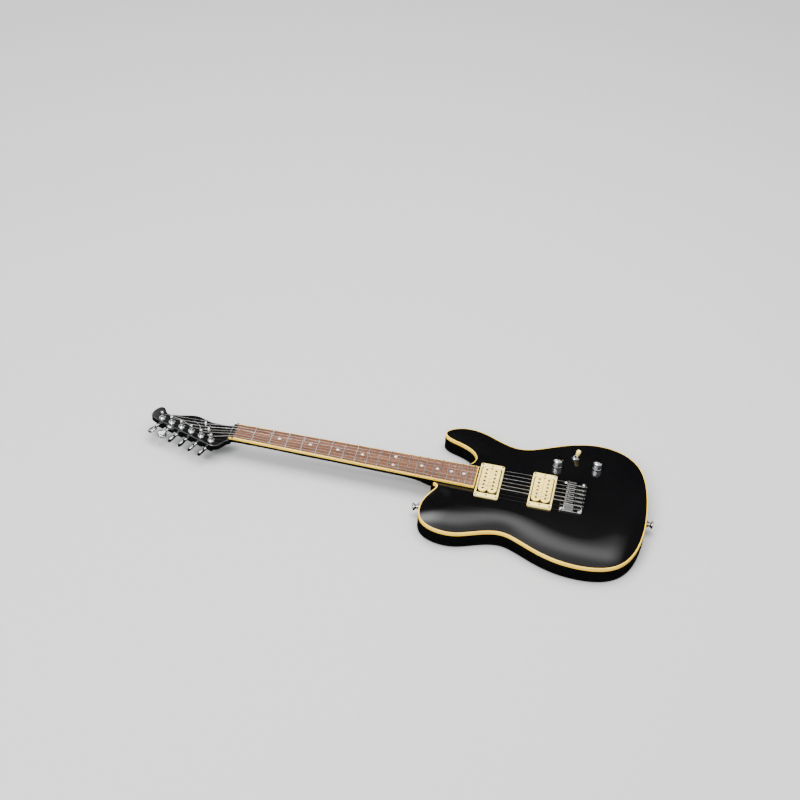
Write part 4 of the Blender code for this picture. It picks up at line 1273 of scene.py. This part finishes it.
def make_bridge():
    make_bridge_plate()
    screws = []
    for number in STRINGS:
        make_saddle(number)
        screws += intonation_screw(number)
    piece("intonation_screws", merged(screws), "ring_screw", crease=60)


# ---- pickups and controls

def make_pickup_ring(name, x, top):
    """A sloping-sided ring round a pickup, with its four screws and the pickup's own two."""
    base = PLATEAU + HAIRLINE
    levels = [(46, 90.5, base), (45.6, 90.1, top - 1), (45.1, 89.6, top - 0.35), (44, 88.5, top)]
    opening = prism(rounded_rectangle((x, 0), (39.5, 71), 1.8), 40, OVER)
    lip = stacked((x, 0), [(39.3, 70.8, top - 0.6), (40.7, 72.2, top + 0.1)], 2)
    along, across = RING_SCREWS
    recesses = [upright(2.3, (x + sx * along, sy * across), top - 0.7, top + 1)
                for sx, sy in CORNERS]
    made = combine(stacked((x, 0), levels, 3.2), cuts=[opening, lip] + recesses)
    part(f"pickup_ring_{name}", made, "cream_plastic")
    heads = [slotted_head((x + sx * along, sy * across, top - 0.5), UP, 2, 0.8,
                          turn=0.8 * sx + sy) for sx, sy in CORNERS]
    heads += [slotted_head((x, sy * 39.6, top), UP, 1.9, 1, turn=sy) for sy in (-1, 1)]
    piece(f"ring_screws_{name}", merged(heads), "ring_screw")


def make_pickup(name, x, top):
    """Two bobbins side by side, with screws in the outward coil and slugs in the other."""
    flanges, coils, screws, slugs = [], [], [], []
    outward = -1 if name == "neck" else 1
    slug = rounded([(0, 40), (2.3, 40), (2.3, top + 0.05), (0, top + 0.05)], 0.3)
    for side in (-1, 1):
        middle = x + side * COIL_OFFSET
        stadium = rounded_rectangle((middle, 0), (17.5, 67.4), 8.7, 12)
        flange = softened(prism(stadium, top - 2.4, top), 0.45)
        poles = [(middle, string_y(number, POLE_PITCH)) for number in STRINGS]
        wells = [upright(2.6, place, top - 0.8, top + 1) for place in poles]
        flanges.append(combine(flange, cuts=wells))
        coil = rounded_rectangle((middle, 0), (15.6, 65.2), 7.7, 10)
        coils.append(prism(coil, 34, top - 2.35))
        for px, py in poles:
            if side == outward:
                screws.append(slotted_head((px, py, top - 0.2), UP, 2.2, 0.85,
                                           cross=False, turn=0.35 * py + 0.4))
            else:
                slugs.append(turned(slug, 28, (px, py, 0)))
    part(f"pickup_{name}", merged(flanges), "bobbin_cream", normals=weighted)
    piece(f"pickup_coils_{name}", merged(coils), "coil_tape")
    base_plate = softened(box((x - 18.2, -33, 32), (x + 18.2, 33, 33.9)), 0.3, 2)
    piece(f"pickup_base_{name}", base_plate, "nickel")
    # the poles wear near-black steel: painted shade of their wells and painted dark reflection
    piece(f"pole_screws_{name}", merged(screws), "pole_steel_painted_dark")
    piece(f"pole_slugs_{name}", merged(slugs), "pole_steel_painted_dark")


def make_pickups():
    for name, (x, ring_top, bobbin_top) in PICKUPS.items():
        make_pickup_ring(name, x, ring_top)
        make_pickup(name, x, bobbin_top)


def make_knobs():
    def knurl(angle, height):
        depth = 0.022 if 47.5 < height < 56.8 else 0
        return 1 - depth * (0.5 + 0.5 * math.cos(48 * angle))

    corners = [(0, 48.7), (7.6, 48.7), (7.6, 45.2), (9.6, 45.2), (9.6, 46.6), (9.2, 47),
               (9.35, 47.6), (9.35, 56.6), (9.2, 57.4), (9.5, 58), (9, 60), (7.2, 61.6),
               (4, 62.4), (0, 62.6)]
    for name, place in KNOBS.items():
        knob = turned(rounded(corners, 0.5), 192, (*place, 0), ripple=knurl)
        shaft = upright(3, place, 31, 48.8)
        part(f"knob_{name}", merged([knob, shaft]), "chrome", f"{name}_control", crease=50)


def make_switch():
    """A round knurled nut and collar, and the lever with its moulded tip."""
    x, y, pivot = SWITCH

    def knurl(angle, height):
        return 1 - 0.03 * (0.5 + 0.5 * math.cos(30 * angle)) * (height < 46.3)

    nut = turned([(0, 44.6), (7.9, 44.6), (8, 44.9), (8, 46.1), (7.3, 46.8), (0, 46.8)], 150,
                 (x, y, 0), ripple=knurl)
    collar = turned(rounded([(0, 40), (5.7, 40), (5.7, 47.6), (4.4, 47.9), (0, 47.9)], 0.3), 40,
                    (x, y, 0))
    bore = upright(4.2, (x, y), 41, OVER)
    case = softened(box((x - 6, y - 11, 14), (x + 6, y + 11, CAVITY_TOP - 0.3)), 0.5, 2)
    made = combine(nut, joins=[collar], cuts=[bore])
    part("switch_body", merged([made, case]), "chrome", crease=30)
    towards = (math.sin(SWITCH_LEAN), 0, math.cos(SWITCH_LEAN))
    shaft = turned(rounded([(0, -3.2), (1.8, -3), (1.8, 9), (1.5, 14), (0, 14)], 0.3), 24,
                   (x, y, pivot), towards)
    part("switch_lever", shaft, "chrome", "pickup_selector")
    tip = [(0, 9.6), (2.6, 9.6), (3.1, 10.6), (3.9, 14), (4.4, 17.5), (4.4, 20), (3.6, 22.6),
           (2, 23.8), (0, 24.1)]
    piece("switch_tip", turned(rounded(tip, 1.2), 32, (x, y, pivot), towards), "switch_tip",
          "pickup_selector", crease=60)


def make_jack():
    """A round plate let into the side, with the socket's nut on it."""
    x, y, z = JACK
    plate = turned(rounded([(0, 0.1), (12, 0.1), (12, 1.4), (11, 2), (0, 2)], 0.4), 56,
                   (x, y, z), (0, 1, 0))
    hole = rod(5.1, (x, y - 2, z), (x, y + 6, z))
    part("jack_plate", combine(plate, cuts=[hole]), "chrome")

    def hexagon(angle, height):
        flat = (angle + math.pi / 6) % (math.pi / 3) - math.pi / 6
        return 0.87 / math.cos(flat) if 2.3 < height < 4 else 1

    sleeve = turned([(0, -22), (8.8, -22), (8.8, -1.6), (4.8, -1.6), (4.8, 2.1), (6.9, 2.1),
                     (7.2, 2.4), (7.2, 3.9), (6, 4.1), (4.6, 4.4), (0, 4.4)], 96, (x, y, z),
                    (0, 1, 0), hexagon)
    bore = rod(3.3, (x, y - 19, z), (x, y + 8, z))
    part("jack_socket", combine(sleeve, cuts=[bore]), "steel", crease=25)


def dress_hidden_parts():
    """Give the CAD parts that stay as they are a finish of their own."""
    for name in ("pot_volume", "pot_tone", "truss_rod"):
        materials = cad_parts[name].data.materials
        for index in range(len(materials)):
            materials[index] = FINISHES["steel"][0]


# ---- studio

STUDIO_BLACK = rgb(0.004, 0.004, 0.004)
FLOOR = -0.0006              # just under the guitar
GUITAR = (-0.2, 0, 0)        # where the lights aim


def area_light(name, place, size, power):
    """A plain rectangular light that aims at the guitar."""
    data = bpy.data.lights.new(name, "AREA")
    data.shape = "RECTANGLE"
    data.size, data.size_y = size
    data.energy = power
    made = placed(name, data)
    made.location = place
    aim = Vector(GUITAR) - Vector(place)
    made.rotation_euler = aim.to_track_quat("-Z", "Y").to_euler()
    return made


def stage_sheet(name, low, high, material):
    """A level or upright sheet that belongs to the studio, from one corner to the other."""
    corners = [low, (high[0], low[1], low[2]), high, (low[0], high[1], high[2])]
    mesh = bpy.data.meshes.new(name)
    mesh.from_pydata(corners, [], [(0, 1, 2, 3)])
    mesh.materials.append(material)
    made = placed(name, mesh)
    return made


def stage_card(name, low, high, material):
    """A sheet that only reflections see."""
    made = stage_sheet(name, low, high, material)
    made.visible_camera = False
    made.visible_diffuse = False
    made.visible_shadow = False
    made.visible_transmission = False


def black_card():
    return Finish("black_card").finish(Base_Color=STUDIO_BLACK, Roughness=1,
                                       Specular_IOR_Level=0)


def card_shape(f, across, away):
    """A strength that changes over a card, given as (place, strength) stops.

    The first stops run along X, the second along Y.
    """
    axes = f.add("SeparateXYZ", Vector=f.place)
    shapes = []
    for axis, stops in ((0, across), (1, away)):
        low, high = stops[0][0], stops[-1][0]
        along = f.add("MapRange", Value=axes.outputs[axis], From_Min=low, From_Max=high)
        shapes.append(f.ramp(along.outputs["Result"], [
            ((place - low) / (high - low), (level, level, level)) for place, level in stops]))
    product = f.tree.nodes.new("ShaderNodeVectorMath")
    product.operation = "MULTIPLY"
    f.join(shapes[0], product.inputs[0])
    f.join(shapes[1], product.inputs[1])
    return product.outputs[0]


def glowing_card(light, across, away):
    """A panel of light with its own shape of glow."""
    f = Finish("glowing_card")
    return f.finish(Base_Color=rgb(0, 0, 0), Specular_IOR_Level=0,
                    Emission_Color=card_shape(f, across, away), Emission_Strength=light)


def soft_flag(across, away):
    """A black card that fades out towards its edges."""
    f = Finish("soft_flag")
    return f.finish(Base_Color=STUDIO_BLACK, Roughness=1, Specular_IOR_Level=0,
                    Alpha=card_shape(f, across, away))


def make_studio():
    f = Finish("floor")
    colour = f.mix(f.noise(60, 3), rgb(0.45, 0.45, 0.445), rgb(0.48, 0.48, 0.475))
    floor = stage_sheet("floor", (-30, -30, 0), (30, 30, 0),
                        f.finish(Base_Color=colour, Roughness=0.8, Specular_IOR_Level=0.2))
    floor.location.z = FLOOR

    world = bpy.data.worlds.new("studio")
    world.use_nodes = True
    background = world.node_tree.nodes["Background"]
    background.inputs["Color"].default_value = rgb(0.96, 0.98, 1)
    background.inputs["Strength"].default_value = 1
    bpy.context.scene.world = world
    overhead = area_light("overhead", (-0.1, 0.4, 3), (2.6, 2), 205)
    overhead.visible_glossy = False
    area_light("key", (-1.6, -2.4, 2.9), (1.6, 1.6), 185)

    # Black cards stand for the dark room that the flat of the top reflects.
    dark = black_card()
    stage_card("dark_below", (-1.6, -1.6, FLOOR / 2), (1.2, 0.9, FLOOR / 2), dark)
    stage_card("dark_behind_body", (-0.45, 0.3, 0), (1, 0.3, 0.44), dark)
    stage_card("dark_behind_neck", (-0.81, 0.3, 0.23), (-0.45, 0.3, 0.44), dark)
    stage_card("dark_above_body", (-2.6, 0.3, 3.3), (2.4, 3.8, 3.3), dark)
    stage_card("dark_above_back", (-2.6, 3.8, 1.4), (2.4, 3.8, 3.3), dark)
    stage_card("flag_horn", (-0.24, 0.12, 0.15), (-0.12, 0.22, 0.15), dark)
    across = [(-0.38, 0), (-0.32, 1), (-0.2, 1), (-0.02, 0)]
    away = [(-0.015, 0), (0.008, 1), (0.12, 1)]
    stage_card("flag_heel", (-0.38, -0.015, 0.15), (-0.02, 0.12, 0.15), soft_flag(across, away))

    # The carve reflects one soft panel, and rounded edges and the headstock's tip reflect
    # a small glow each.
    across = [(-3, 0), (-2.3, 0.6), (-1.7, 1), (-1.1, 0.9), (-0.6, 0.42), (0, 0.36),
              (0.6, 0.36), (1.2, 0)]
    away = [(0.45, 0), (0.85, 0.26), (1.3, 0.32), (1.8, 1), (2.15, 0.9), (2.6, 0.35), (3, 0)]
    stage_card("panel", (-3, 0.45, 3.2), (1.2, 3, 3.2), glowing_card(7.5, across, away))
    across = [(-2.6, 0), (-2, 1), (1, 1), (1.6, 0)]
    away = [(-0.5, 0), (-0.1, 1), (0.4, 0)]
    stage_card("edge_glow", (-2.6, -0.5, 3.2), (1.6, 0.4, 3.2), glowing_card(5, across, away))
    across = [(-2.8, 0), (-2.5, 1), (-2.1, 1), (-2, 0)]
    away = [(3, 0), (3.15, 1), (3.5, 1), (3.7, 0)]
    stage_card("tip_glow", (-2.8, 3, 3.2), (-2, 3.7, 3.2), glowing_card(1.7, across, away))


def make_camera():
    """The viewing angle: low over the bass side, with the headstock on the left."""
    data = bpy.data.cameras.new("camera")
    data.lens = 72.68
    data.sensor_width = 36
    camera = placed("camera", data)
    right = Vector((0.97536, 0.21448, 0.05171))
    up = Vector((-0.18034, 0.64003, 0.74688))
    back = right.cross(up).normalized()
    turn = Matrix((right, up, back)).transposed().to_4x4()
    camera.matrix_world = Matrix.Translation((0.10415, -2.19928, 2.18406)) @ turn
    bpy.context.scene.camera = camera


make_camera()
for make in (make_body, make_body_binding, make_back, make_strap_buttons, make_neck,
             make_fingerboard, make_board_binding, make_frets_and_dots, make_nut, make_tuners,
             make_string_trees, make_strings, make_string_tails, make_bridge, make_pickups,
             make_knobs, make_switch, make_jack, dress_hidden_parts, make_studio):
    make()
